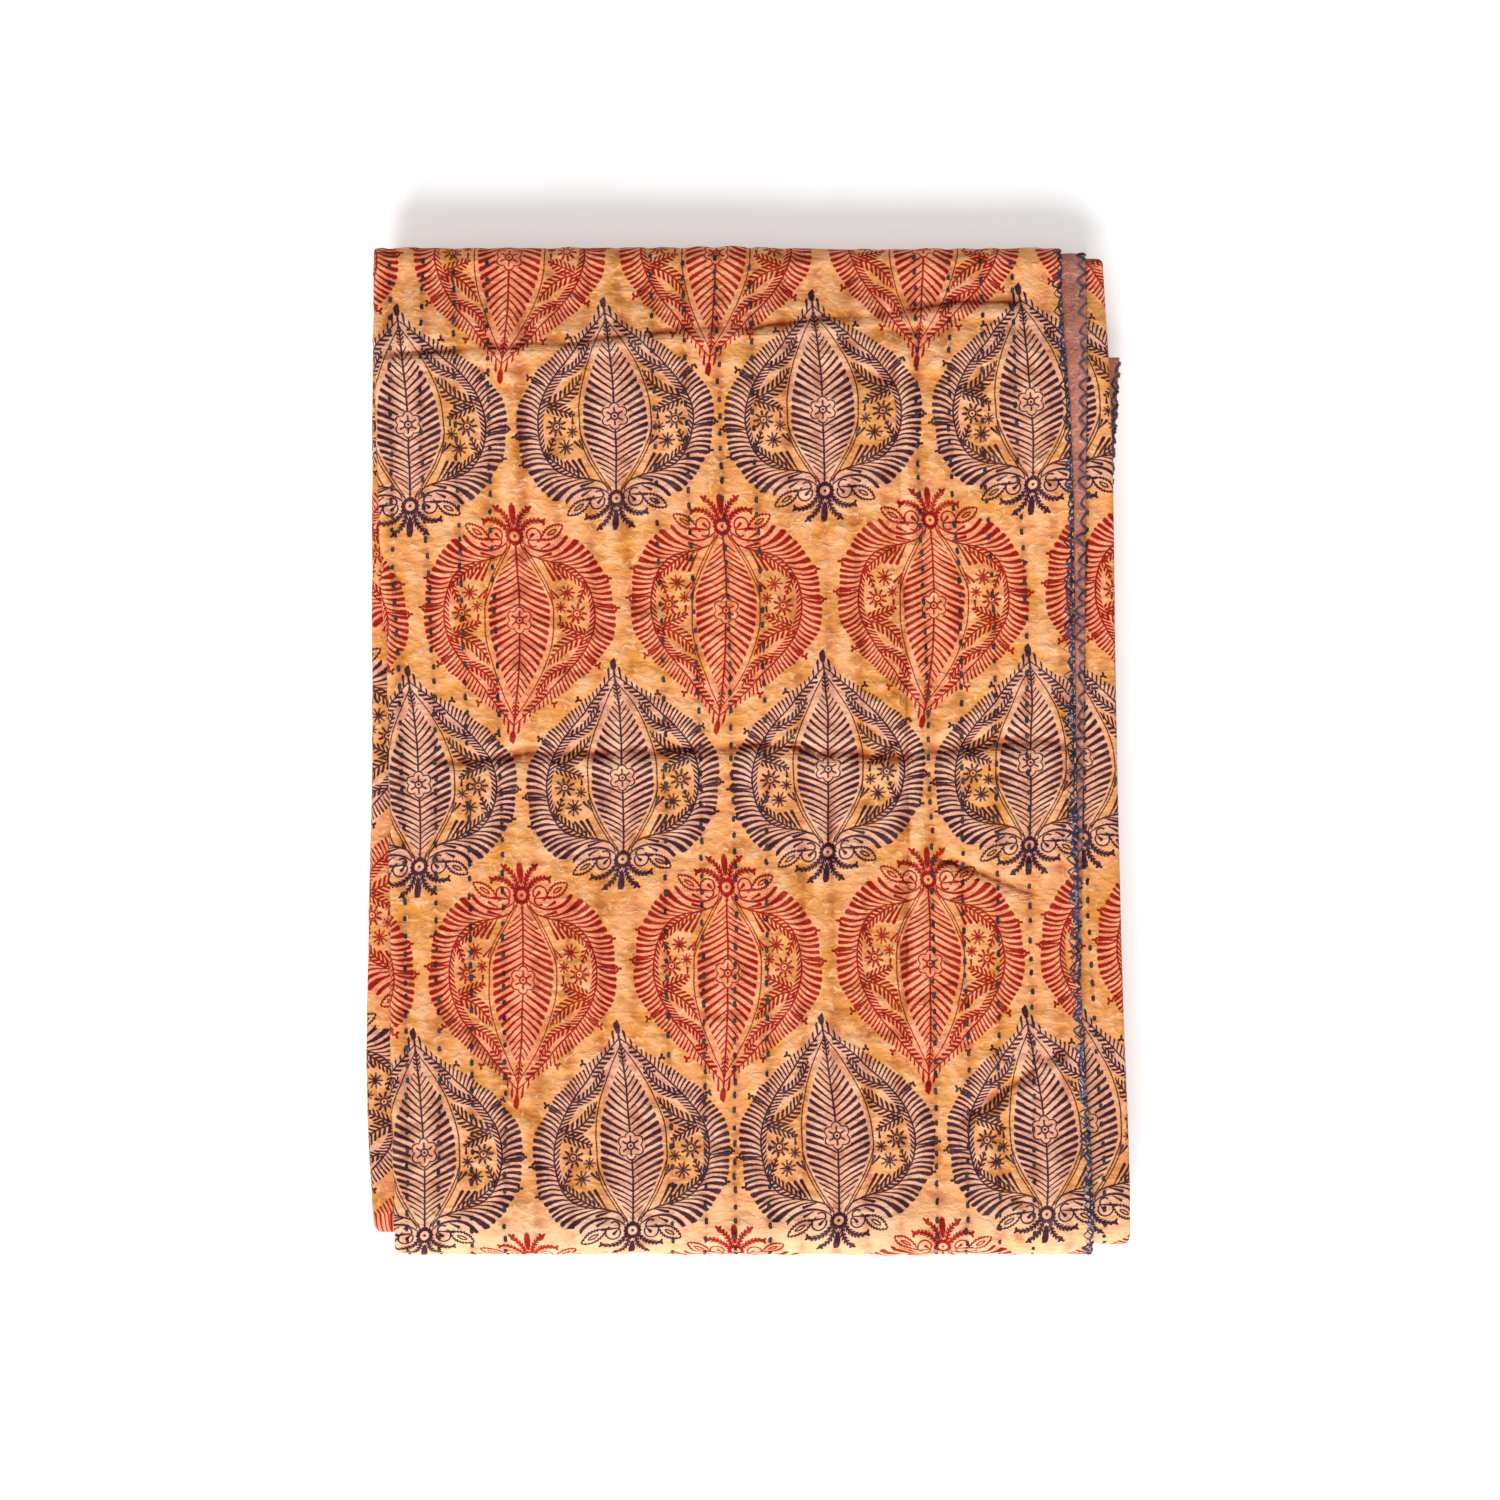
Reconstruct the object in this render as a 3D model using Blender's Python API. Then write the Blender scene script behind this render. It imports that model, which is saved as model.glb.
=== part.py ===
"""Folded kantha quilt: a printed cotton face over a plain cotton backing, quilted with running stitch.

The quilt is folded in half twice across its width, which stacks four panels, and then twice along its
length, which stacks four of those bundles. Each cloth is one closed sheet that follows every fold.

Lengths are in millimetres until the points become vertices. X runs across the folded quilt, +Y to the
end where the length has its single upper fold, and +Z up. Z is zero on the underside.
"""

import bmesh
import bpy
import numpy as np

MM = 0.001
NAME = "kantha_quilt"

# The two cloths and how closely they stack
FACE_THICKNESS = 1.0
BACKING_THICKNESS = 1.0
CLOTH_GAP = 0.3
PANEL_PITCH = 2.7
BUNDLE_PITCH = 11.5

# Across, panels 1 to 4 fold one way and then back: 1 lies uppermost, then 4, 3 and 2
OUTER_TURN = 1.5 * PANEL_PITCH
INNER_TURN = 0.5 * PANEL_PITCH
HALF_QUILT = FACE_THICKNESS + CLOTH_GAP / 2
TOP_PANEL_WIDTH = 361.0
TOP_PANEL_HEIGHT = 3 * PANEL_PITCH
FLAT_STEPS = 4
OUTER_TURN_STEPS = 6
INNER_TURN_STEPS = 4

# Along, the bundles fold in this order, each at its level in the stack, counted from the bottom
LEVELS = {"first": 1, "second": 2, "top": 3, "bottom": 0}
HALF_BUNDLE = OUTER_TURN + HALF_QUILT

# Where the flat runs of the length begin and end
FIRST_END_Y = 203.0
INNER_FOLD_Y = -249.0
UPPER_FOLD_Y = 258.7
WRAP_FOLD_Y = -248.7
BOTTOM_END_Y = 261.0
END_FOLD_STEPS = 6
WRAP_FOLD_STEPS = 8
WRAP_SQUARENESS = 0.9
ARC_SAMPLES = 400

# Edges of the panels: each row is a place along the quilt, with the outer fold at the left (both left
# folds share it), the hem of panel 1, the fold of panels 2 and 3, and the hem of panel 4.
EDGE_COLUMNS = ("bundle", "y", "left", "top_hem", "right_fold", "low_hem")
EDGES = (
    ("first", FIRST_END_Y, -199.0, 172.0, 186.0, 198.5),
    ("first", 130.0, -199.0, 172.0, 186.5, 193.6),
    ("first", -100.0, -200.0, 171.0, 186.0, 184.0),
    ("first", INNER_FOLD_Y, -201.0, 171.0, 187.0, 180.0),
    ("second", INNER_FOLD_Y, -202.6, 171.0, 187.5, 178.0),
    ("second", 0.0, -203.2, 169.0, 187.5, 178.0),
    ("second", UPPER_FOLD_Y, -201.8, 166.5, 189.0, 179.0),
    ("top", UPPER_FOLD_Y, -201.4, 165.7, 189.7, 179.0),
    ("top", 160.0, -199.4, 170.2, 193.4, 178.2),
    ("top", 27.0, -193.6, 172.0, 195.5, 177.0),
    ("top", -133.0, -191.6, 175.3, 199.2, 174.8),
    ("top", WRAP_FOLD_Y, -190.2, 181.7, 203.0, 173.2),
    ("bottom", WRAP_FOLD_Y, -190.2, 181.5, 202.6, 173.2),
    ("bottom", 0.0, -194.0, 173.0, 191.0, 173.0),
    ("bottom", BOTTOM_END_Y, -197.0, 170.0, 186.0, 172.0),
)

# Flat stations between the folds; the top bundle has more, where its creases need them
PLAIN_ROWS = (120.0, -10.0, -130.0)
SECOND_ROWS = (240.0, 222.0, 205.0, 188.0, 110.0, 30.0, -60.0, -150.0, -215.0)
SAG_ROWS = (246.0, 237.0, 229.0, 221.0, 212.0, 204.0, 197.0, 186.0)
TOP_ROWS = SAG_ROWS + (150.0, 95.0, 40.0, 10.0, 0.0, -9.0, -24.0, -80.0, -140.0, -168.0, -190.0, -212.0,
                       -234.0)
BACKING_TOP_ROWS = SAG_ROWS + (150.0, 95.0, 40.0, 0.0, -80.0, -140.0, -190.0, -234.0)

# Quilting: the top panel puffs up between rows of running stitch
STITCH_ROW_PITCH = 17.6
STITCH_ROWS = 20
FIRST_STITCH_ROW = 10.0
PUFF = 0.55
PLAIN_BY_SHARE = 0.97
PLAIN_WITHIN_SHARE = 0.06
DEEPEST_TROUGH = -0.45

# Creases pressed in when the quilt lay in other folds; a rise below zero is a trough
CREASE_COLUMNS = ("start_x", "start_y", "end_x", "end_y", "half_width", "rise")
CREASES = (
    (-197.0, 212.0, 147.0, 240.0, 7.0, 1.0),
    (-60.0, 198.0, 150.0, 198.0, 11.0, -0.8),
    (-190.0, -9.0, 168.0, 1.0, 9.0, -0.8),
    (-123.0, 238.0, -123.0, 25.0, 12.0, -0.7),
    (83.0, 217.0, 86.0, -145.0, 8.0, 0.6),
    (18.0, -250.0, 104.0, -212.0, 10.0, 0.9),
    (104.0, -212.0, 172.0, -168.0, 11.0, 1.0),
)

# The folded stack settles: it sags past the first bundle's free end, and its surface is uneven
SAG_DEPTH = 9.5
SAG_START_Y = 200.0
SAG_LENGTH = 60.0
WAVES_COLUMNS = ("length_x", "length_y", "phase", "height")
WAVES = (
    (640.0, 720.0, 0.4, 1.0),
    (-520.0, 430.0, 2.1, 0.5),
    (1600.0, 340.0, 4.0, 0.5),
)
FREE_END_SKEW = 8.0
FREE_END_SKEW_X = 90.0
FREE_END_SKEW_LENGTH = 110.0


def named_rows(columns, rows):
    """The rows of a short table as dictionaries."""
    return [dict(zip(columns, row)) for row in rows]


def smooth_step(share):
    share = np.clip(share, 0.0, 1.0)
    return share * share * (3.0 - 2.0 * share)


def smooth_through(at, places, values):
    """A curve through the values at their places, with the slope of its neighbours at each."""
    slopes = np.gradient(values, places)
    i = int(np.clip(np.searchsorted(places, at) - 1, 0, len(places) - 2))
    span = places[i + 1] - places[i]
    t = (at - places[i]) / span
    return (
        values[i] * (2 * t**3 - 3 * t**2 + 1)
        + slopes[i] * span * (t**3 - 2 * t**2 + t)
        + values[i + 1] * (3 * t**2 - 2 * t**3)
        + slopes[i + 1] * span * (t**3 - t**2)
    )


def level_height(bundle):
    return HALF_BUNDLE + BUNDLE_PITCH * LEVELS[bundle]


def flat_run(bundle, start_y, end_y, row_places, puffed=False):
    """Stations of a flat bundle: place y and z, then the direction in which its top panel faces."""
    going = 1.0 if end_y > start_y else -1.0
    places = [start_y] + sorted(row_places, reverse=going < 0) + [end_y]
    height = level_height(bundle)
    facing = (0.0, -going)
    return [{"y": y, "z": height, "facing": facing, "bundle": bundle, "puffed": puffed} for y in places]


def end_fold(from_bundle, to_bundle, fold_y, going, steps, squareness=0.0, puffed=False):
    """Stations around a fold of the length; squareness flattens its outermost stretch."""
    rise = level_height(to_bundle) - level_height(from_bundle)
    t = (np.arange(ARC_SAMPLES) + 0.5) / ARC_SAMPLES
    turn = np.pi * t - squareness / 4 * np.sin(4 * np.pi * t)
    scale = abs(rise) / np.sin(turn).sum()
    outward = np.concatenate([[0.0], np.cumsum(np.cos(turn))]) * scale
    upward = np.concatenate([[0.0], np.cumsum(np.sin(turn))]) * scale * np.sign(rise)
    stations = []
    for step in range(1, steps):
        share = step / steps
        angle = np.pi * share - squareness / 4 * np.sin(4 * np.pi * share)
        i = round(share * ARC_SAMPLES)
        heading = (going * np.cos(angle), np.sign(rise) * np.sin(angle))
        stations.append({
            "y": fold_y + going * outward[i],
            "z": level_height(from_bundle) + upward[i],
            "facing": (heading[1], -heading[0]),
            "bundle": to_bundle if share > 0.5 else from_bundle,
            "puffed": puffed,
        })
    return stations


def length_stations(top_rows):
    """Every station along the length, from the first bundle's free end to the bottom one's."""
    runs = (
        flat_run("first", FIRST_END_Y, INNER_FOLD_Y, PLAIN_ROWS),
        end_fold("first", "second", INNER_FOLD_Y, -1, END_FOLD_STEPS),
        flat_run("second", INNER_FOLD_Y, UPPER_FOLD_Y, SECOND_ROWS),
        end_fold("second", "top", UPPER_FOLD_Y, 1, END_FOLD_STEPS, puffed=True),
        flat_run("top", UPPER_FOLD_Y, WRAP_FOLD_Y, top_rows, puffed=True),
        end_fold("top", "bottom", WRAP_FOLD_Y, -1, WRAP_FOLD_STEPS, WRAP_SQUARENESS, puffed=True),
        flat_run("bottom", WRAP_FOLD_Y, BOTTOM_END_Y, PLAIN_ROWS),
    )
    stations = [station for run in runs for station in run]
    along = 0.0
    for i, station in enumerate(stations):
        if i:
            before = stations[i - 1]
            along += np.hypot(station["y"] - before["y"], station["z"] - before["z"])
        station["along"] = along
    add_edges(stations)
    return stations


def add_edges(stations):
    """Gives each station the places of the panels' edges, read smoothly from the table."""
    table = named_rows(EDGE_COLUMNS, EDGES)
    places = []
    for row in table:
        run = [s for s in stations if s["bundle"] == row["bundle"] and s["facing"][0] == 0.0]
        order = np.argsort([s["y"] for s in run])
        ys = [run[i]["y"] for i in order]
        places.append(np.interp(row["y"], ys, [run[i]["along"] for i in order]))
    for name in EDGE_COLUMNS[2:]:
        values = np.array([row[name] for row in table])
        for station in stations:
            station[name] = smooth_through(station["along"], np.array(places), values)


def panel(from_edge, to_edge, height, facing, shares, from_inset=0.0, to_inset=0.0):
    """Stations of a flat panel, each mixed from its two edges."""
    return [
        {"mix": ((from_edge, 1 - share, from_inset), (to_edge, share, to_inset)), "round": 0.0,
         "height": height, "facing": (0.0, facing)}
        for share in shares
    ]


def side_turn(edge, inset, radius, middle, angles, facing):
    """Stations of a fold of the width, about its centre line."""
    return [
        {"mix": ((edge, 1.0, inset),), "round": radius * np.cos(angle),
         "height": middle + radius * np.sin(angle),
         "facing": (facing * np.cos(angle), facing * np.sin(angle))}
        for angle in angles[1:-1]
    ]


def width_stations(top_shares):
    """Every station across the width: panels 1 to 4 and the three folds between them."""
    left_inset = OUTER_TURN + HALF_QUILT
    right_inset = -(INNER_TURN + HALF_QUILT)
    down_left = np.radians(np.linspace(90.0, 270.0, OUTER_TURN_STEPS + 1))
    round_right = np.radians(np.linspace(-90.0, 90.0, INNER_TURN_STEPS + 1))
    up_left = np.radians(np.linspace(270.0, 90.0, INNER_TURN_STEPS + 1))
    even = np.linspace(0.0, 1.0, FLAT_STEPS + 1)
    top_panel = panel("top_hem", "left", TOP_PANEL_HEIGHT, 1, top_shares, 0.0, left_inset)
    for station, share in zip(top_panel, top_shares):
        station["order"] = share
    others = (
        side_turn("left", left_inset, OUTER_TURN, OUTER_TURN, down_left, 1)
        + panel("left", "right_fold", 0.0, -1, even, left_inset, right_inset)
        + side_turn("right_fold", right_inset, INNER_TURN, INNER_TURN, round_right, 1)
        + panel("right_fold", "left", PANEL_PITCH, 1, even, right_inset, left_inset)
        + side_turn("left", left_inset, INNER_TURN, OUTER_TURN, up_left, -1)
        + panel("left", "low_hem", 2 * PANEL_PITCH, -1, even, left_inset, 0.0)
    )
    for number, station in enumerate(others, start=2):
        station["order"] = float(number)
    return top_panel + others


def plain_shares():
    """Stations across the top panel where it has no relief."""
    return list(np.linspace(0.0, 1.0, FLAT_STEPS + 1))


def quilted_shares():
    """Stations across the top panel on each stitch row and midway between rows."""
    offsets = FIRST_STITCH_ROW + STITCH_ROW_PITCH * 0.5 * np.arange(2 * STITCH_ROWS - 1)
    return [0.0, *(offsets / TOP_PANEL_WIDTH), 1.0]


def settled(points):
    """Lets the stack sag past the free end inside it and takes its surface out of true."""
    x, y, z = points.T
    wave = np.zeros(len(points))
    for row in named_rows(WAVES_COLUMNS, WAVES):
        angle = 2 * np.pi * (x / row["length_x"] + y / row["length_y"]) + row["phase"]
        wave += row["height"] * np.sin(angle)
    top_height = level_height("top") + HALF_BUNDLE
    above_bottom = (z - BUNDLE_PITCH) / BUNDLE_PITCH
    sag = SAG_DEPTH * smooth_step((y - SAG_START_Y) / SAG_LENGTH) * smooth_step(above_bottom)
    return np.stack([x, y, z * (1 + wave / top_height) - sag], axis=1)


def place_row(station, width, offset, puffed):
    """One row of vertices across the width, at an offset from the quilt's middle on its printed side."""
    facing_y, facing_z = station["facing"]
    points = []
    for across in width:
        side, up = across["facing"]
        x = sum(weight * (station[edge] + inset) for edge, weight, inset in across["mix"])
        x += across["round"] + side * offset
        rise = across["height"] - TOP_PANEL_HEIGHT / 2 + up * offset
        if puffed and across["order"] <= 1.0:
            rise += relief(x, station, across["order"])
        y = station["y"] + facing_y * rise
        z = station["z"] + facing_z * rise
        if station["along"] == 0.0:
            y += FREE_END_SKEW * smooth_step((x - FREE_END_SKEW_X) / FREE_END_SKEW_LENGTH)
        points.append((x, y, z))
    return settled(np.array(points))


def relief(x, station, share):
    """Height of the top panel's puffs and creases above its plain surface."""
    rows_in = (share * TOP_PANEL_WIDTH - FIRST_STITCH_ROW) / STITCH_ROW_PITCH
    lift = PUFF * np.sin(np.pi * rows_in) ** 2
    here = np.array([x, station["y"]])
    for crease in named_rows(CREASE_COLUMNS, CREASES):
        start = np.array([crease["start_x"], crease["start_y"]])
        run = np.array([crease["end_x"], crease["end_y"]]) - start
        reach = np.clip(np.dot(here - start, run) / np.dot(run, run), 0.0, 1.0)
        distance = np.linalg.norm(here - start - reach * run)
        lift += crease["rise"] * (1 - smooth_step(distance / crease["half_width"]))
    beside_fold = smooth_step((PLAIN_BY_SHARE - share) / PLAIN_WITHIN_SHARE)
    around_fold = smooth_step(0.5 + station["facing"][1])
    return max(lift, DEEPEST_TROUGH) * beside_fold * around_fold


def joined(near, far):
    """Triangles between two rows whose stations may differ; each row is (order, vertex)."""
    triangles = []
    i = j = 0
    while i < len(near) - 1 or j < len(far) - 1:
        near_next = near[i + 1][0] if i < len(near) - 1 else np.inf
        far_next = far[j + 1][0] if j < len(far) - 1 else np.inf
        if near_next <= far_next:
            triangles.append((near[i][1], near[i + 1][1], far[j][1]))
            i += 1
        else:
            triangles.append((near[i][1], far[j + 1][1], far[j][1]))
            j += 1
    return triangles


def sheet(name, outer, inner, top_rows, quilted):
    """One cloth as a closed sheet between two offsets, with its free edges closed."""
    plain_width = width_stations(plain_shares())
    quilted_width = width_stations(quilted_shares())
    vertices = []
    faces = []
    sides = []
    for offset, with_puffs in ((outer, quilted), (inner, False)):
        rows = []
        for station in length_stations(top_rows):
            puffed = with_puffs and station["puffed"]
            width = quilted_width if puffed else plain_width
            points = place_row(station, width, offset, puffed)
            numbers = range(len(vertices), len(vertices) + len(points))
            vertices.extend(points)
            rows.append([(across["order"], number) for across, number in zip(width, numbers)])
        for near, far in zip(rows, rows[1:]):
            faces.extend(joined(near, far))
        sides.append(rows)
    faces.extend(edge_walls(*sides))
    return solid(name, np.array(vertices) * MM, faces)


def edge_walls(outer_rows, inner_rows):
    """The narrow faces along the two hems and the two free ends."""
    loops = []
    for pick in (0, -1):
        loops.append(([row[pick][1] for row in outer_rows], [row[pick][1] for row in inner_rows]))
        loops.append(([n for _, n in outer_rows[pick]], [n for _, n in inner_rows[pick]]))
    walls = []
    for outer, inner in loops:
        for i in range(len(outer) - 1):
            walls.append((outer[i], outer[i + 1], inner[i + 1]))
            walls.append((outer[i], inner[i + 1], inner[i]))
    return walls


def solid(name, vertices, faces):
    mesh = bpy.data.meshes.new(name)
    mesh.from_pydata([tuple(v) for v in vertices], [], faces)
    shape = bmesh.new()
    shape.from_mesh(mesh)
    bmesh.ops.recalc_face_normals(shape, faces=shape.faces)
    shape.to_mesh(mesh)
    shape.free()
    mesh.shade_smooth()
    return bpy.data.objects.new(name, mesh)


def cloth_material(name, colour, roughness):
    material = bpy.data.materials.new(name)
    material.use_nodes = True
    shader = material.node_tree.nodes["Principled BSDF"]
    shader.inputs["Base Color"].default_value = (*colour, 1.0)
    shader.inputs["Roughness"].default_value = roughness
    shader.inputs["Metallic"].default_value = 0.0
    return material


def centred(objects):
    """Moves the model so that the middle of its footprint is at the origin."""
    points = np.array([tuple(v.co) for ob in objects for v in ob.data.vertices])
    low = points.min(axis=0)
    high = points.max(axis=0)
    for ob in objects:
        for vertex in ob.data.vertices:
            vertex.co.x -= (low[0] + high[0]) / 2
            vertex.co.y -= (low[1] + high[1]) / 2
            vertex.co.z -= low[2]


def main():
    for ob in list(bpy.data.objects):
        bpy.data.objects.remove(ob, do_unlink=True)
    collection = bpy.data.collections.new(NAME)
    bpy.context.scene.collection.children.link(collection)

    face = sheet("printed_face_cloth", HALF_QUILT, CLOTH_GAP / 2, TOP_ROWS, quilted=True)
    face.data.materials.append(cloth_material("printed_ochre_cotton", (0.68, 0.36, 0.17), 0.85))

    backing = sheet("plain_backing_cloth", -CLOTH_GAP / 2, -HALF_QUILT, BACKING_TOP_ROWS, quilted=False)
    backing.data.materials.append(cloth_material("salmon_cotton", (0.66, 0.26, 0.16), 0.85))

    centred([face, backing])
    for ob in (face, backing):
        collection.objects.link(ob)


main()
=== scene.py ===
"""Looks of a folded kantha quilt: block-printed cotton over a plain backing, quilted by hand.

Lengths are in millimetres until points become vertices. The cloths follow the folds of the solids that
they replace: across, panels 1 to 4 fold back and forth; along, four bundles of those panels stack up.
"""

from functools import reduce

import bpy
import numpy as np
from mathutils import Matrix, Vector


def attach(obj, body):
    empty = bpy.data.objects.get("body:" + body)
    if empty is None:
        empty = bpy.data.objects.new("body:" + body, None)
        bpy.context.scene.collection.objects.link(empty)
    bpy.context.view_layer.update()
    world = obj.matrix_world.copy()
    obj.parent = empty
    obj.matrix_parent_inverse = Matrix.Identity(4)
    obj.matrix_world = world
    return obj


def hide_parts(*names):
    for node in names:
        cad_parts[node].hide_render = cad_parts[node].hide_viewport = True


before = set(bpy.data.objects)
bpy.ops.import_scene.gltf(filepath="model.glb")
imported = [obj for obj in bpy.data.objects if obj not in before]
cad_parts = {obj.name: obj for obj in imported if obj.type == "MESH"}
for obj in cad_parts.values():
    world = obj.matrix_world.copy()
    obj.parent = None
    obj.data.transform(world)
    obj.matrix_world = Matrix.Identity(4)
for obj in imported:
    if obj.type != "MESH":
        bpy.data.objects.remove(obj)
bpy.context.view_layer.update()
MM = 0.001

# How closely the two cloths stack, as in the solids
PANEL_PITCH = 2.7
BUNDLE_PITCH = 11.5
OUTER_TURN = 1.5 * PANEL_PITCH
INNER_TURN = 0.5 * PANEL_PITCH
HALF_QUILT = 1.15
TOP_PANEL_HEIGHT = 3 * PANEL_PITCH
LEVELS = {"first": 1, "second": 2, "top": 3, "bottom": 0}
HALF_BUNDLE = OUTER_TURN + HALF_QUILT
FIRST_END_Y = 203.0
INNER_FOLD_Y = -249.0
UPPER_FOLD_Y = 258.7
WRAP_FOLD_Y = -248.7
BOTTOM_END_Y = 261.0
WRAP_SQUARENESS = 0.9
ARC_SAMPLES = 400
INNER_FOLD_STEPS = 8
CENTRE = (-1.411, -0.75)

# A hem rolls in over three stations, at these angles and this far on, round a nose of this radius
HEM_NOSE = 0.9
NOSE_TURNS = (90.0, 60.0, 30.0)
NOSE_STEPS = (2.2, 1.5, 0.7)
COLUMN_PARTS = ("edges", "share", "insets", "round", "height", "side", "up", "order", "nose")

# Edges of the panels at places along the quilt, as in the solids
EDGE_COLUMNS = ("bundle", "y", "left", "top_hem", "right_fold", "low_hem")
EDGES = (
    ("first", FIRST_END_Y, -199.0, 172.0, 186.0, 198.5),
    ("first", 130.0, -199.0, 172.0, 186.5, 193.6),
    ("first", -100.0, -200.0, 171.0, 186.0, 184.0),
    ("first", INNER_FOLD_Y, -201.0, 171.0, 187.0, 180.0),
    ("second", INNER_FOLD_Y, -202.6, 171.0, 187.5, 178.0),
    ("second", 0.0, -203.2, 169.0, 187.5, 178.0),
    ("second", UPPER_FOLD_Y, -201.8, 166.5, 189.0, 179.0),
    ("top", UPPER_FOLD_Y, -201.4, 165.7, 189.7, 179.0),
    ("top", 160.0, -199.4, 170.2, 193.4, 178.2),
    ("top", 27.0, -193.6, 172.0, 195.5, 177.0),
    ("top", -133.0, -191.6, 175.3, 199.2, 174.8),
    ("top", WRAP_FOLD_Y, -190.2, 181.7, 203.0, 173.2),
    ("bottom", WRAP_FOLD_Y, -190.2, 181.5, 202.6, 173.2),
    ("bottom", 0.0, -194.0, 173.0, 191.0, 173.0),
    ("bottom", BOTTOM_END_Y, -197.0, 170.0, 186.0, 172.0),
)

# How the stack settles, as in the solids
SAG_DEPTH = 9.5
SAG_START_Y = 200.0
SAG_LENGTH = 60.0
WAVES_COLUMNS = ("length_x", "length_y", "phase", "height")
WAVES = (
    (640.0, 720.0, 0.4, 1.0),
    (-520.0, 430.0, 2.1, 0.5),
    (1600.0, 340.0, 4.0, 0.5),
)
FREE_END_SKEW = 8.0
FREE_END_SKEW_Y = 120.0
FREE_END_SKEW_X = 90.0
FREE_END_SKEW_LENGTH = 110.0

# Meshes: steps along each bundle in millimetres, and counts across each panel and fold in turn
FACE_STEPS = {"first": 8.0, "second": 5.2, "upper_fold": 16, "top": 2.15, "wrap_fold": 26, "bottom": 4.8}
BACKING_STEPS = {"first": 5.0, "second": 9.0, "upper_fold": 12, "top": 3.0, "wrap_fold": 14, "bottom": 9.0}
PANELS = ("top_panel", "outer_fold", "second_panel", "right_fold", "third_panel", "inner_fold", "low_panel")
FACE_ACROSS = {
    "first": (12, 6, 8, 5, 8, 4, 12),
    "second": (24, 8, (8, 8), 5, 12, 4, 12),
    "top": (166, 16, 12, 7, (17, 9), 5, 12),
    "bottom": (84, 8, 10, 5, 10, 4, 12),
}
BACKING_ACROSS = {
    "first": (12, 6, 8, 5, 8, 4, (9, 17)),
    "second": (12, 6, 8, 5, 8, 4, 12),
    "top": (24, 8, 8, 5, 12, 4, (12, 22)),
    "bottom": (14, 8, 8, 5, 8, 4, 12),
}

# Quilting: rows of running stitch along the length, with the cloth puffed up and puckered between them
ROW_PITCH = 17.6
FIRST_ROW = 2.0
ROWS_TOGETHER = 4
ROWS_APART = 8
ROW_WANDER = 1.3
WANDER_LENGTH = 85.0
STITCH_PITCH = 8.5
STITCH_LENGTH = 2.7
STITCH_RADII = (0.6, 1.2, 1.32, 1.2, 0.6)
LOWEST_STITCH = 0.7
THREAD_SIDES = 5
THREAD_TWIST = 0.0002
STITCH_ARCH = ((-0.5, -0.45), (-0.34, 0.12), (0.0, 0.3), (0.34, 0.12), (0.5, -0.45))
PUFF = 0.6
CRUMPLE_COLUMNS = ("lean", "tilt", "length", "width", "number", "height")
CRUMPLE = (
    (0.0, 0.0, 22.0, 8.5, 4, 0.42),
    (0.0, 0.0, 10.0, 6.5, 5, 0.30),
    (0.8, 0.6, 15.0, 9.5, 6, 0.34),
    (-0.7, -0.5, 19.0, 10.5, 12, 0.30),
)
DEEPEST = -1.6
# The hem of the top panel dips beside its middle stretch, fading in and out over these lengths
HEM_DROP = -0.9
HEM_WIDTH = 9.0
HEM_DROP_START, HEM_DROP_FADE_IN = -60.0, 60.0
HEM_DROP_END, HEM_DROP_FADE_OUT = 150.0, 40.0
# How much of each panel below shows past the one above it, as a share of its width, and how it is split there
THIRD_SHOWS = 0.09
SECOND_SHOWS = 0.06
SHOW_FADE = 0.02
LOW_SHOWS_FROM = 6.86
SPLITS = {"second_panel": SECOND_SHOWS + SHOW_FADE, "third_panel": THIRD_SHOWS + SHOW_FADE, "low_panel": 0.85}
# The left fold's section: a circle would have the power 2, and the front fold is squarer still
FOLD_SQUARENESS = 3.0
FRONT_SQUARENESS = 2.5
SEED = 7

# Image coordinates: where each stretch across the quilt ends, and its columns of the image in each block
STRETCHES = (("top_panel", 1.0), ("outer_fold", 2.0), ("second_near", 2.08), ("second_far", 3.0),
             ("right_fold", 4.0), ("third_near", 4.11), ("third_far", 5.0), ("inner_fold", 6.0),
             ("low_far", 6.85), ("low_near", 7.2))
ATLAS_SIDE = 0.63
ATLAS_BAND = (0.50, 0.995)
ATLAS_GRAIN = 1 / 1024
FACE_SHEET = {
    "first": (3, 24, 4, 4, 10, 6, 4, 4, 3, 4),
    "second": (3, 24, 24, 4, 10, 6, 4, 4, 3, 4),
    "top": ((0.004, 0.004, 0.622, 0.996), 40, 4, 4, 12, 46, 4, 4, 4, 4),
    "bottom": ((0.63, 0.03, 0.996, 0.492), 24, 4, 4, 10, 6, 4, 4, 3, 4),
}
BACKING_SHEET = {
    "first": (3, 4, 3, 8, 3, 3, 6, 4, 12, 40),
    "second": (3, 4, 3, 8, 3, 3, 6, 4, 12, 8),
    "top": ((0.004, 0.004, 0.3, 0.996), 6, 3, 8, 6, 3, 8, 4,
            (0.31, 0.004, 0.4, 0.996), (0.41, 0.004, 0.62, 0.996)),
    "bottom": ((0.63, 0.03, 0.996, 0.492), 6, 3, 8, 6, 3, 8, 4, 12, 20),
}

# Hem sewing: for each strand how far apart its turns are, how far in it reaches and how thick it is
HEM_STRANDS = {"overcast": (8.4, 3.4, 0.8), "edge": (6.1, 1.0, 0.95), "tangle": (7.3, 4.4, 0.7)}
HEM_POINTS = 9

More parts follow.
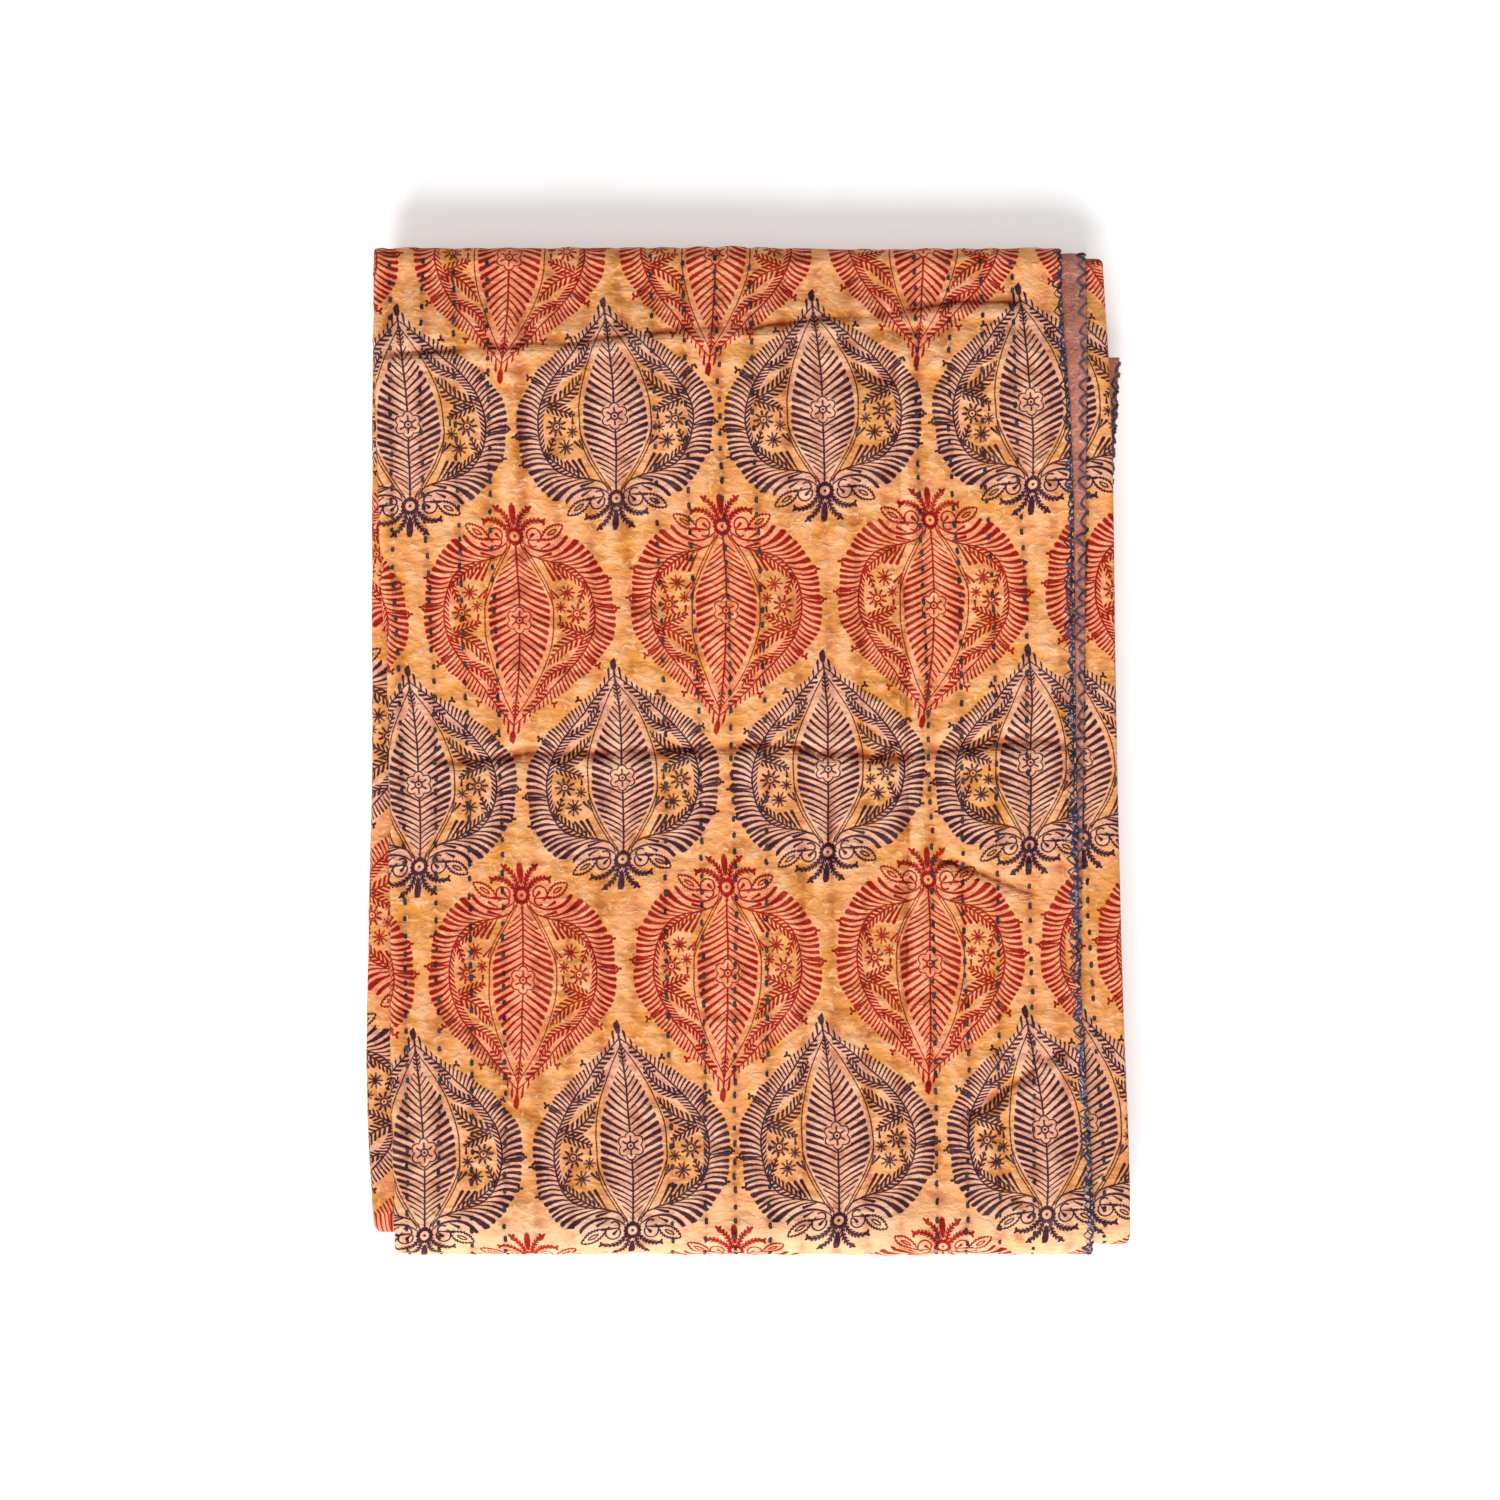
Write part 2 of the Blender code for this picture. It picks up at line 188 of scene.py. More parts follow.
# Block print: a lattice of upright indigo leaves with inverted red ones between their rows. A motif is
# drawn in units of 0.532 mm, with its origin at the ring that it grows from.
UNIT = 0.532
MOTIF_PITCH = 206.0
MOTIF_ROW = 366.0
LOWEST_Y = 158.0
RED_DROP = 32.0
LEAF_SCALE = 0.97
RED_SCALE = 0.935
RED_WIDTH_SCALE = 1.0
LATTICE_U = 11.2
LATTICE_V = 322.4
LATTICE_SHEAR = 0.037
MOTIF_LEAN = 0.040
MOTIF_BEND = 4.0
WEAVE_PITCH = 0.9
FLOWER_HEIGHT = 80.0
BLOCK_WARP = 4.0
BLOCK_JITTER = 2.0
# How the blocks drifted as they were set down: by length, how far down and how much apart they went
DRIFT_DOWN = ((-600, 15), (-240, 15), (-30, 2.9), (34, 2.9), (147, 2.7), (235, 0.2), (312, -0.8),
              (421, -0.6), (513, 2.0), (600, 2.0))
DRIFT_APART = ((-600, -0.012), (-30, -0.012), (150, -0.010), (235, 0.0), (312, 0.012), (421, 0.004),
               (513, -0.008), (600, -0.008))
# The wreath by angle in degrees about the middle of the leaf, from straight down to straight up
VINE = ((0, 76), (4, 72), (8, 67.5), (13, 64), (20, 63.5), (28, 65), (36, 69), (44, 73), (51, 75.7),
        (62, 76.8), (78, 75.6), (91, 74.5), (107, 72.2), (126, 70.2), (140, 71), (150, 73.5), (158, 78.6),
        (166, 84.8), (172, 91), (177, 97.5), (180, 102))
CLUB_COUNT = ((0, -1.3), (18.4, 0.5), (28.9, 1.5), (35.9, 2.5), (41.8, 3.5), (47, 4.5), (51.5, 5.5),
              (57, 6.6), (86, 14.2), (110, 20.5), (150, 33.2), (180, 42.6))
CLUB_LENGTH = ((0, 26), (38, 28), (44, 25), (51, 22.8), (58, 21), (66, 21.5), (72, 21), (78, 19.4),
               (90, 20.5), (100, 21), (107, 19), (112, 17.5), (120, 16), (125, 16.4), (130, 14.2),
               (136, 12.6), (143, 12.3), (147, 11.6), (151, 10), (158, 8.1), (162, 6.8), (166, 5.6),
               (170, 5), (172.5, 6), (175, 8.4), (177.5, 11.5), (179, 7), (180, 2))
CLUB_LEAN = ((0, 13.5), (38, 13.5), (43, 12.9), (50, 11.7), (56, 9.2), (64, 10.6), (72, 8.2), (90, 8.4),
             (100, 9.4), (107, 8.4), (115, 7.3), (130, 5.1), (145, 3.9), (165, 2.4), (180, 1.4))
# The leaf inside it by height: half its width, and the slope and count of its blades
LENS = ((-40, 0.5), (8, 6.5), (16, 11), (27, 17.5), (40, 25), (50, 29.5), (60, 32.6), (72, 34.2),
        (88, 34.2), (98, 33.2), (110, 30.7), (120, 27.7), (130, 24.2), (140, 19.8), (150, 15),
        (160, 9.6), (170, 3.6), (176, 0.8), (200, 0.4))
BLADE_SLOPE = ((0, 1.0), (20, 0.9), (40, 0.7), (60, 0.62), (90, 0.66), (115, 0.85), (140, 1.2),
               (175, 1.7))
BLADE_COUNT = ((-40, -10), (18, 1), (34, 4), (60, 8), (150, 20.7), (176, 24.5))
# Its smaller marks: strokes that swell to a round end, fronds on a bowed spine, and three-lobed leaves
STROKE_COLUMNS = ("start", "end", "half_width")
BASE_STROKES = (
    ((13.0, 3.2), (29.0, 2.2), 1.1),
    ((13.6, 2.0), (18.5, -3.0), 1.5),
    ((20.0, 19.6), (35.0, 15.4), 1.2),
    ((25.0, 11.0), (34.0, 6.2), 1.1),
)
STEMS = (
    ((25.5, 22.0), (36.5, 42.0), 1.3),
    ((29.0, 22.0), (42.5, 41.0), 1.3),
    ((38.0, 29.0), (48.5, 40.5), 1.0),
    ((31.5, 50.0), (40.0, 58.5), 1.0),
    ((31.5, 50.0), (35.0, 59.5), 1.0),
    ((41.0, 83.0), (40.5, 75.0), 1.0),
)
TWIGS = (((62.0, 112.0), (77.0, 122.0), 0.8), ((74.0, 66.0), (94.0, 68.0), 1.0))
FROND_COLUMNS = ("start", "end", "reach", "pitch", "bow", "spine")
BASE_FRONDS = (
    ((6.5, -5.0), (27.5, -15.5), 2.6, 3.6, 4.0, 0.9),
    ((3.6, -7.0), (15.0, -26.0), 2.6, 3.8, 3.0, 0.8),
)
FERNS = (
    ((50.0, 124.5), (20.0, 151.0), 5.2, 4.8, -5.4, 0.4),
    ((66.0, 96.0), (30.0, 121.5), 7.0, 5.4, -5.6, 0.4),
    ((64.0, 94.0), (40.0, 84.0), 5.4, 4.8, 0.0, 0.4),
    ((34.0, 23.5), (67.0, 46.0), 5.4, 4.8, 1.5, 0.4),
    ((69.0, 45.0), (60.5, 62.0), 3.6, 5.0, -1.0, 0.4),
)
TREFOIL_COLUMNS = ("place", "turn")
BASE_TREFOILS = (((28.5, -14.6), 2.6), ((15.6, -27.0), 1.6))
TREFOILS = (((38.5, 160.5), 1.8), ((79.5, 124.0), 3.0), ((96.5, 68.0), 0.4), ((90.5, 39.5), 0.2))

# Studio
FLOOR_REACH = 2600.0
LENS_LENGTH = 85.0
SENSOR_WIDTH = 36.0
CAMERA_AT = (0.00114, 0.00048)
QUILT_TOP = 0.047
FRAME_WIDTH = 0.798
KEY_FROM = (-0.12, -0.84, 0.53)
KEY_POWER = 3.9
KEY_SOFTNESS = 40.0
FILL_FROM = (0.0, 0.3, 2.6)
FILL_SIZE = 2.4
FILL_POWER = 13.0
WORLD_LIGHT = 0.40
WHITE = (1.0, 1.0, 1.0, 1.0)

# Creases of the top panel: points of each line, then its half width, height, raggedness and sharpness.
# Each fades over the taper at both ends, and the material knows a sharp one within the reach, where it paints
# shade along it.
CREASE_TAPER = 14.0
CREASE_REACH = 4.0
CREASE_COLUMNS = ("line", "half_width", "rise", "ragged", "sharp")
CREASES = (
    (((-197, 210), (-126, 215), (-84, 218), (-48, 222), (19, 227), (76, 233), (111, 239), (150, 240)),
     2.3, -1.2, 0.6, 0.5),
    (((-197, 205), (-126, 210), (-84, 213), (-48, 217), (19, 222), (76, 228), (111, 234), (150, 235)),
     4.0, 1.2, 0.6, 0.0),
    (((-70, 199), (-20, 197), (40, 199), (100, 196), (158, 199)), 7.0, -1.0, 0.3, 0.0),
    (((-170, -7), (-119, -3), (-52, -1), (5, 2), (55, -3), (83, -3), (122, 3), (158, 5), (176, 1)),
     3.0, -2.0, 0.5, 0.65),
    (((-160, -13), (-60, -11), (5, -9), (60, -13), (122, -8), (170, -7)), 6.0, 0.7, 0.4, 0.0),
    (((-123, 238), (-121, 150), (-124, 90), (-122, 25)), 5.0, -0.8, 0.3, 0.0),
    (((-122, -60), (-123, -100)), 4.5, -0.6, 0.3, 0.0),
    (((76, 218), (80, 120), (83, 43), (84, -50), (83, -145)), 2.4, -0.7, 0.35, 0.35),
    (((80, 218), (84, 120), (88, 43), (88, -50), (87, -145)), 2.6, 0.5, 0.35, 0.0),
    (((42, -26), (43, -68)), 2.6, -0.8, 0.2, 0.5),
    (((94, -57), (125, -66), (154, -78)), 3.0, -1.9, 0.3, 1.0),
    (((37, -156), (94, -158), (118, -163)), 3.4, 1.1, 0.3, 0.0),
    (((83, -135), (118, -120)), 4.0, -0.9, 0.3, 0.5),
    (((105, -204), (140, -180), (170, -157)), 4.5, -1.3, 0.3, 0.6),
    (((130, -171), (150, -168), (172, -171)), 3.5, 1.1, 0.3, 0.0),
    (((19, -248), (62, -218), (97, -213)), 5.0, 1.1, 0.3, 0.0),
    (((-169, -131), (-148, -152), (-130, -177)), 2.6, -0.9, 0.3, 0.5),
)


def named_rows(columns, rows):
    """The rows of a short table as dictionaries."""
    return [dict(zip(columns, row)) for row in rows]


def running_sum(steps):
    """Sums so far, from zero."""
    return np.concatenate([[0.0], np.cumsum(steps)])


def smooth_step(share):
    share = np.clip(share, 0.0, 1.0)
    return share * share * (3.0 - 2.0 * share)


def smooth_through(at, places, values):
    """A curve through the values at their places, with the slope of its neighbours at each."""
    slopes = np.gradient(values, places)
    i = np.clip(np.searchsorted(places, at) - 1, 0, len(places) - 2)
    span = places[i + 1] - places[i]
    t = (at - places[i]) / span
    return (
        values[i] * (2 * t**3 - 3 * t**2 + 1)
        + slopes[i] * span * (t**3 - 2 * t**2 + t)
        + values[i + 1] * (3 * t**2 - 2 * t**3)
        + slopes[i + 1] * span * (t**3 - t**2)
    )


def noise(x, y, number):
    """Smooth noise from -1 to 1, with one hill or hollow to a unit square."""
    table = np.random.default_rng(SEED * 100 + number).uniform(-1.0, 1.0, (128, 128))
    column = np.floor(x).astype(int)
    row = np.floor(y).astype(int)
    u = smooth_step(x - column)
    v = smooth_step(y - row)
    left = table[column % 128, row % 128] * (1 - v) + table[column % 128, (row + 1) % 128] * v
    right = table[(column + 1) % 128, row % 128] * (1 - v) + table[(column + 1) % 128, (row + 1) % 128] * v
    return left * (1 - u) + right * u


# --- The fold map ---------------------------------------------------------------------------------------


def level_height(bundle):
    return HALF_BUNDLE + BUNDLE_PITCH * LEVELS[bundle]


def flat_run(bundle, start_y, end_y, step):
    """Stations of a flat bundle: y, z and the way its top panel faces."""
    count = int(np.ceil(abs(end_y - start_y) / step)) + 1
    return {"y": np.linspace(start_y, end_y, count), "z": np.full(count, level_height(bundle)),
            "facing_y": np.zeros(count), "facing_z": np.full(count, np.sign(start_y - end_y)),
            "bundle": [bundle] * count}


def end_fold(from_bundle, to_bundle, fold_y, going, steps, squareness=0.0):
    """Stations around a fold of the length; squareness flattens its outermost stretch."""

    def turned(share):
        return np.pi * share - squareness / 4 * np.sin(4 * np.pi * share)

    rise = level_height(to_bundle) - level_height(from_bundle)
    turn = turned((np.arange(ARC_SAMPLES) + 0.5) / ARC_SAMPLES)
    scale = abs(rise) / np.sin(turn).sum()
    outward = running_sum(np.cos(turn)) * scale
    upward = running_sum(np.sin(turn)) * scale * np.sign(rise)
    share = np.arange(1, steps) / steps
    angle = turned(share)
    places = np.arange(ARC_SAMPLES + 1) / ARC_SAMPLES
    return {"y": fold_y + going * np.interp(share, places, outward),
            "z": level_height(from_bundle) + np.interp(share, places, upward),
            "facing_y": np.sign(rise) * np.sin(angle), "facing_z": -going * np.cos(angle),
            "bundle": [to_bundle if s > 0.5 else from_bundle for s in share]}


def length_rows(fine):
    """Every station along the length, in blocks that each have their own stations across."""
    runs = (
        ("first", flat_run("first", FIRST_END_Y, INNER_FOLD_Y, fine["first"])),
        ("first", end_fold("first", "second", INNER_FOLD_Y, -1, INNER_FOLD_STEPS)),
        ("second", flat_run("second", INNER_FOLD_Y, UPPER_FOLD_Y, fine["second"])),
        ("top", end_fold("second", "top", UPPER_FOLD_Y, 1, fine["upper_fold"])),
        ("top", flat_run("top", UPPER_FOLD_Y, WRAP_FOLD_Y, fine["top"])),
        ("top", end_fold("top", "bottom", WRAP_FOLD_Y, -1, fine["wrap_fold"], WRAP_SQUARENESS)),
        ("bottom", flat_run("bottom", WRAP_FOLD_Y, BOTTOM_END_Y, fine["bottom"])),
    )
    rows = {name: np.concatenate([run[name] for _, run in runs]) for name in runs[0][1]}
    rows["block"] = np.concatenate([[block] * len(run["y"]) for block, run in runs])
    rows["along"] = running_sum(np.hypot(np.diff(rows["y"]), np.diff(rows["z"])))
    outer_y = rows["y"] + rows["facing_y"] * HALF_BUNDLE
    outer_z = rows["z"] + rows["facing_z"] * HALF_BUNDLE
    outer = running_sum(np.hypot(np.diff(outer_y), np.diff(outer_z)))
    rows["v"] = outer - outer[(rows["bundle"] == "top") & (rows["facing_y"] == 0.0)][0]
    add_edges(rows)
    return closed_ends(rows)


def add_edges(rows):
    """The places of the panels' edges at each station, read smoothly from the table."""
    table = named_rows(EDGE_COLUMNS, EDGES)
    places = []
    for row in table:
        run = np.flatnonzero((rows["facing_y"] == 0.0) & (rows["bundle"] == row["bundle"]))
        order = run[np.argsort(rows["y"][run])]
        places.append(np.interp(row["y"], rows["y"][order], rows["along"][order]))
    for name in EDGE_COLUMNS[2:]:
        values = np.array([row[name] for row in table])
        rows[name] = smooth_through(rows["along"], np.array(places), values)


def closed_ends(rows):
    """Adds stations past both free ends, where each cloth rolls in to the middle of the quilt."""
    zeros = np.zeros(len(rows["y"]))

    def at_ends(values, near):
        return np.concatenate([near * np.array(values), zeros, values[::-1]])

    rows = {name: np.concatenate([[values[0]] * 3, values, [values[-1]] * 3])
            for name, values in rows.items()}
    rows["nose"] = at_ends(np.radians(NOSE_TURNS), 1)
    rows["v"] = rows["v"] + at_ends(NOSE_STEPS, -1)
    rows["image_along"] = rows["along"] + at_ends((0.9, 0.6, 0.3), -1)
    rows["y"] = rows["y"] + HEM_NOSE * np.sin(rows["nose"])
    return rows


def across_columns(shares):
    """Stations across the width: for each its panel's edges, its place between them, facing and order."""
    left_inset = OUTER_TURN + HALF_QUILT
    right_inset = -(INNER_TURN + HALF_QUILT)
    columns = []

    def add(*parts):
        columns.append(dict(zip(COLUMN_PARTS, parts)))

    def hem(edge, height, up, index, angles):
        for angle in angles:
            order = index - up * angle / 1000
            add((edge, edge), 0.0, (0.0, 0.0), 0.0, height, 0.0, up, order, np.radians(angle))

    def flat(name, edges, insets, height, up):
        for share in shares[name]:
            add(edges, share, insets, 0.0, height, 0.0, up, PANELS.index(name) + share, 0.0)

    def turn(name, edge, inset, radius, middle, degrees, facing):
        for share in shares[name][1:-1]:
            angle = np.radians(degrees[0] + (degrees[1] - degrees[0]) * share)
            add((edge, edge), 0.0, (inset, inset), radius * np.cos(angle), middle + radius * np.sin(angle),
                facing * np.cos(angle), facing * np.sin(angle), PANELS.index(name) + share, 0.0)

    hem("top_hem", TOP_PANEL_HEIGHT, 1.0, 0, NOSE_TURNS)
    flat("top_panel", ("top_hem", "left"), (0.0, left_inset), TOP_PANEL_HEIGHT, 1.0)
    turn("outer_fold", "left", left_inset, OUTER_TURN, OUTER_TURN, (90.0, 270.0), 1)
    flat("second_panel", ("left", "right_fold"), (left_inset, right_inset), 0.0, -1.0)
    turn("right_fold", "right_fold", right_inset, INNER_TURN, INNER_TURN, (-90.0, 90.0), 1)
    flat("third_panel", ("right_fold", "left"), (right_inset, left_inset), PANEL_PITCH, 1.0)
    turn("inner_fold", "left", left_inset, INNER_TURN, OUTER_TURN, (270.0, 90.0), -1)
    flat("low_panel", ("left", "low_hem"), (left_inset, 0.0), 2 * PANEL_PITCH, -1.0)
    hem("low_hem", 2 * PANEL_PITCH, -1.0, 7, NOSE_TURNS[::-1])
    return columns


def settled(points):
    """Lets the stack sag past the free end inside it and takes its surface out of true."""
    x, y, z = points[..., 0], points[..., 1], points[..., 2]
    wave = np.zeros_like(x)
    for row in named_rows(WAVES_COLUMNS, WAVES):
        angle = 2 * np.pi * (x / row["length_x"] + y / row["length_y"]) + row["phase"]
        wave += row["height"] * np.sin(angle)
    top_height = level_height("top") + HALF_BUNDLE
    above_bottom = (z - BUNDLE_PITCH) / BUNDLE_PITCH
    sag = SAG_DEPTH * smooth_step((y - SAG_START_Y) / SAG_LENGTH) * smooth_step(above_bottom)
    return np.stack([x, y, z * (1 + wave / top_height) - sag], axis=-1)


def cloth_grid(here, columns, side_of_quilt):
    """Points of one cloth at some stations along it, with the flat place of each and what lies beside it."""
    side, up, order, nose, height = (np.array([c[name] for c in columns])
                                     for name in ("side", "up", "order", "nose", "height"))
    x = []
    for c in columns:
        near, far = (here[edge] + inset for edge, inset in zip(c["edges"], c["insets"]))
        x.append((1 - c["share"]) * near + c["share"] * far + c["round"])
    x = np.concatenate(x, axis=1) + HEM_NOSE * np.sin(nose)
    offset = side_of_quilt * HALF_QUILT * (np.cos(nose) * np.cos(here["nose"]))
    x = x + side * offset
    cross = height + up * offset
    steps = np.cumsum(np.hypot(np.diff(x), np.diff(cross)), axis=1)
    u = np.pad(steps, ((0, 0), (1, 0)))
    u = u[:, np.flatnonzero(order == 1.0)] - u
    v = np.repeat(here["v"], len(columns), axis=1)
    lift, beside, sharp = relief(x, here, order, u, v, side_of_quilt)
    rise = cross + up * lift - TOP_PANEL_HEIGHT / 2
    x = x + side * lift
    to_end = smooth_step((here["y"] - FREE_END_SKEW_Y) / (FIRST_END_Y - FREE_END_SKEW_Y))
    to_end = to_end * ((here["bundle"] == "first") & (here["facing_y"] == 0.0))
    skew = FREE_END_SKEW * smooth_step((x - FREE_END_SKEW_X) / FREE_END_SKEW_LENGTH) * to_end
    y = here["y"] + here["facing_y"] * rise + skew
    points = settled(np.stack([x, y, here["z"] + here["facing_z"] * rise], axis=-1))
    points[..., :2] -= CENTRE
    flat = np.stack([u, v, standing_out(lift)], axis=-1)
    return points, flat, np.stack([beside, sharp, 0 * sharp], axis=-1)


def standing_out(lift):
    """How far each point stands above the mean of the cloth around it."""
    mean = lift
    for axis in (0, 1):
        padded = np.pad(mean, [(5, 4) if a == axis else (0, 0) for a in (0, 1)], mode="edge")
        total = np.cumsum(padded, axis=axis)
        count = lift.shape[axis]
        ahead = np.take(total, np.arange(9, 9 + count), axis=axis)
        mean = (ahead - np.take(total, np.arange(count), axis=axis)) / 9.0
    return lift - mean


def line_distance(x, y, line):
    """Distance to a line, below zero on its right, how far along it each point is, and its length."""
    nearest = np.full(x.shape, np.inf)
    reach = np.zeros(x.shape)
    side = np.ones(x.shape)
    before = 0.0
    for start, end in zip(line, line[1:]):
        run = np.subtract(end, start)
        length = np.hypot(*run)
        t = np.clip(((x - start[0]) * run[0] + (y - start[1]) * run[1]) / length**2, 0.0, 1.0)
        distance = np.hypot(x - start[0] - t * run[0], y - start[1] - t * run[1])
        closer = distance < nearest
        nearest = np.where(closer, distance, nearest)
        side = np.where(closer, np.sign(run[0] * (y - start[1]) - run[1] * (x - start[0])), side)
        reach = np.where(closer, before + t * length, reach)
        before += length
    return nearest * side, reach, before


def row_wander(v, number):
    """How far a row of stitches strays sideways at places along it."""
    return ROW_WANDER * noise(v / WANDER_LENGTH, number * 3.7, 1)


def row_phase(u, v):
    """How far each point is through the gap between two wandering rows of stitches."""
    number = np.round((u - FIRST_ROW) / ROW_PITCH)
    return (u - row_wander(v, number) - FIRST_ROW) / ROW_PITCH


def puckers(u, v):
    """Puffs and the washed cloth's crumple: mostly short folds across the rows."""
    phase = row_phase(u, v)
    between = np.sin(np.pi * phase) ** 2
    bend_u = u + 4.5 * noise(u / 23.0, v / 19.0, 2) + 1.6 * noise(u / 8.0, v / 7.0, 10)
    bend_v = v + 4.5 * noise(u / 17.0, v / 25.0, 3) + 1.6 * noise(u / 7.0, v / 8.0, 11)
    crumple = 0.0
    for row in named_rows(CRUMPLE_COLUMNS, CRUMPLE):
        crest = np.abs(noise((bend_u + bend_v * row["lean"]) / row["length"],
                             (bend_v - bend_u * row["tilt"]) / row["width"], row["number"]))
        crumple = crumple + row["height"] * (1 - 2.4 * crest ** 0.8)
    broad = noise(u / 44.0, v / 29.0, 7)
    swing = 5.0 * noise(v / 60.0, np.round(phase) * 2.3, 8)
    stitch = 0.5 + 0.5 * np.cos(2 * np.pi * v / STITCH_PITCH + swing)
    near_row = np.exp(-((phase - np.round(phase)) * ROW_PITCH / 2.4) ** 2)
    amount = 0.75 + 0.5 * noise(u / 33.0, v / 40.0, 9)
    return (PUFF * between * (0.8 + 0.4 * broad) - near_row * (0.08 + 0.32 * stitch)
            + crumple * amount * (0.5 + 0.5 * between) + 0.45 * broad)


def pressed(x, y):
    """The storage creases of the top panel, and the place of each point beside the nearest sharp one."""
    total = np.zeros_like(x)
    beside = np.full(x.shape, CREASE_REACH)
    sharp = np.zeros_like(x)
    for number, crease in enumerate(named_rows(CREASE_COLUMNS, CREASES)):
        bend = 1.6 * noise(x / 13.0, y / 13.0, 20 + number)
        distance, reach, length = line_distance(x, y + bend, crease["line"])
        ends = smooth_step(reach / CREASE_TAPER + 0.15) * smooth_step((length - reach) / CREASE_TAPER + 0.15)
        uneven = 1 + crease["ragged"] * noise(reach / 17.0, reach * 0.0 + number, 60)
        size = np.abs(distance)
        total += crease["rise"] * uneven * ends * np.exp(-(distance / crease["half_width"]) ** 2)
        amount = crease["sharp"] * ends * uneven * smooth_step((CREASE_REACH + 0.4 - size) / 1.6)
        nearer = (amount > 0) & (size < np.abs(beside))
        beside = np.where(nearer, distance, beside)
        sharp = np.where(nearer, amount, sharp)
    return total, beside, sharp


def relief(x, here, order, u, v, side_of_quilt):
    """How far the cloth stands above its plain fold wherever it shows, in millimetres."""
    facing, block, bundle = here["facing_z"], here["block"], here["bundle"]
    rolled = np.cos(here["nose"])
    texture = puckers(u, v)
    if side_of_quilt < 0:
        low = smooth_step((order - LOW_SHOWS_FROM) / 0.03) * (order <= 7.0)
        return -np.clip(texture * 0.45, -0.3, 0.5) * low * rolled, 0.0 * x + CREASE_REACH, 0.0 * x
    y = here["y"] + 0.0 * x
    first_panel = (order >= 0.0) & (order <= 1.0)
    from_hem = u[:, np.flatnonzero(order == 0.0)] - u
    upward = smooth_step(0.6 + facing)
    calm = 0.25 + 0.75 * smooth_step(from_hem / HEM_WIDTH)
    hem_drop = HEM_DROP * np.exp(-(from_hem / HEM_WIDTH) ** 2)
    hem_drop = hem_drop * smooth_step((y - HEM_DROP_START) / HEM_DROP_FADE_IN)
    hem_drop = hem_drop * smooth_step((HEM_DROP_END - y) / HEM_DROP_FADE_OUT)
    creases, beside, sharp = pressed(x, y)
    sharp = sharp * (facing > 0.9) * first_panel
    upper = np.maximum(texture + creases * upward, DEEPEST) * calm + hem_drop
    around = smooth_step((2.0 - order) / 0.5) * (order > 1.0)
    lift = upper * upward * (first_panel + around) * (block == "top") * (bundle != "bottom")
    third = smooth_step((4.0 + THIRD_SHOWS - order) / SHOW_FADE) * (order > 4.0) * (block == "top")
    second = smooth_step((2.0 + SECOND_SHOWS - order) / SHOW_FADE) * (order > 1.4) * (block == "second")
    lift = lift + np.clip(texture * 0.5, -0.4, 0.55) * (third + second)
    around_angle = (order - 1.0) * np.pi
    power = FOLD_SQUARENESS + FRONT_SQUARENESS * np.abs(here["facing_y"])
    square = (np.abs(np.cos(around_angle)) ** power + np.abs(np.sin(around_angle)) ** power) ** (-1 / power)
    lift = lift + (OUTER_TURN + HALF_QUILT) * (square - 1.0) * ((order > 1.0) & (order < 2.0))
    downward = smooth_step((-facing - 0.6) / 0.4) * (bundle == "bottom") * first_panel
    lift = lift + np.clip(texture * 0.6 - 0.5, -1.2, 0.0) * downward
    return lift * rolled, beside, sharp


# --- Meshes ---------------------------------------------------------------------------------------------


def shares_across(counts):
    """Shares at which each panel and fold has stations; a pair of counts lies on either side of a split."""
    shares = {}
    for name, count in zip(PANELS, counts):
        if isinstance(count, tuple):
            before = np.linspace(0.0, SPLITS[name], count[0] + 1)[:-1]
            shares[name] = np.concatenate([before, np.linspace(SPLITS[name], 1.0, count[1] + 1)])
        else:
            shares[name] = np.linspace(0.0, 1.0, count + 1)
    return shares


def zipped(near, far, near_start, far_start):
    """Triangles between two rows with unlike stations, by their order across."""
    near, far = [*near, np.inf], [*far, np.inf]
    triangles = []
    i = j = 0
    while near[i + 1] < np.inf or far[j + 1] < np.inf:
        a, b = near_start + i, far_start + j
        if near[i + 1] <= far[j + 1]:
            triangles.append((a, b, a + 1))
            i += 1
        else:
            triangles.append((a, b, b + 1))
            j += 1
    return triangles


def cell_positions(block):
    """Where each column and row of a block lies along it, always growing."""
    u = np.abs(np.diff(block["u"][len(block["u"]) // 2]))
    return running_sum(u + 0.05), running_sum(np.abs(np.diff(block["along"])) + 0.05)


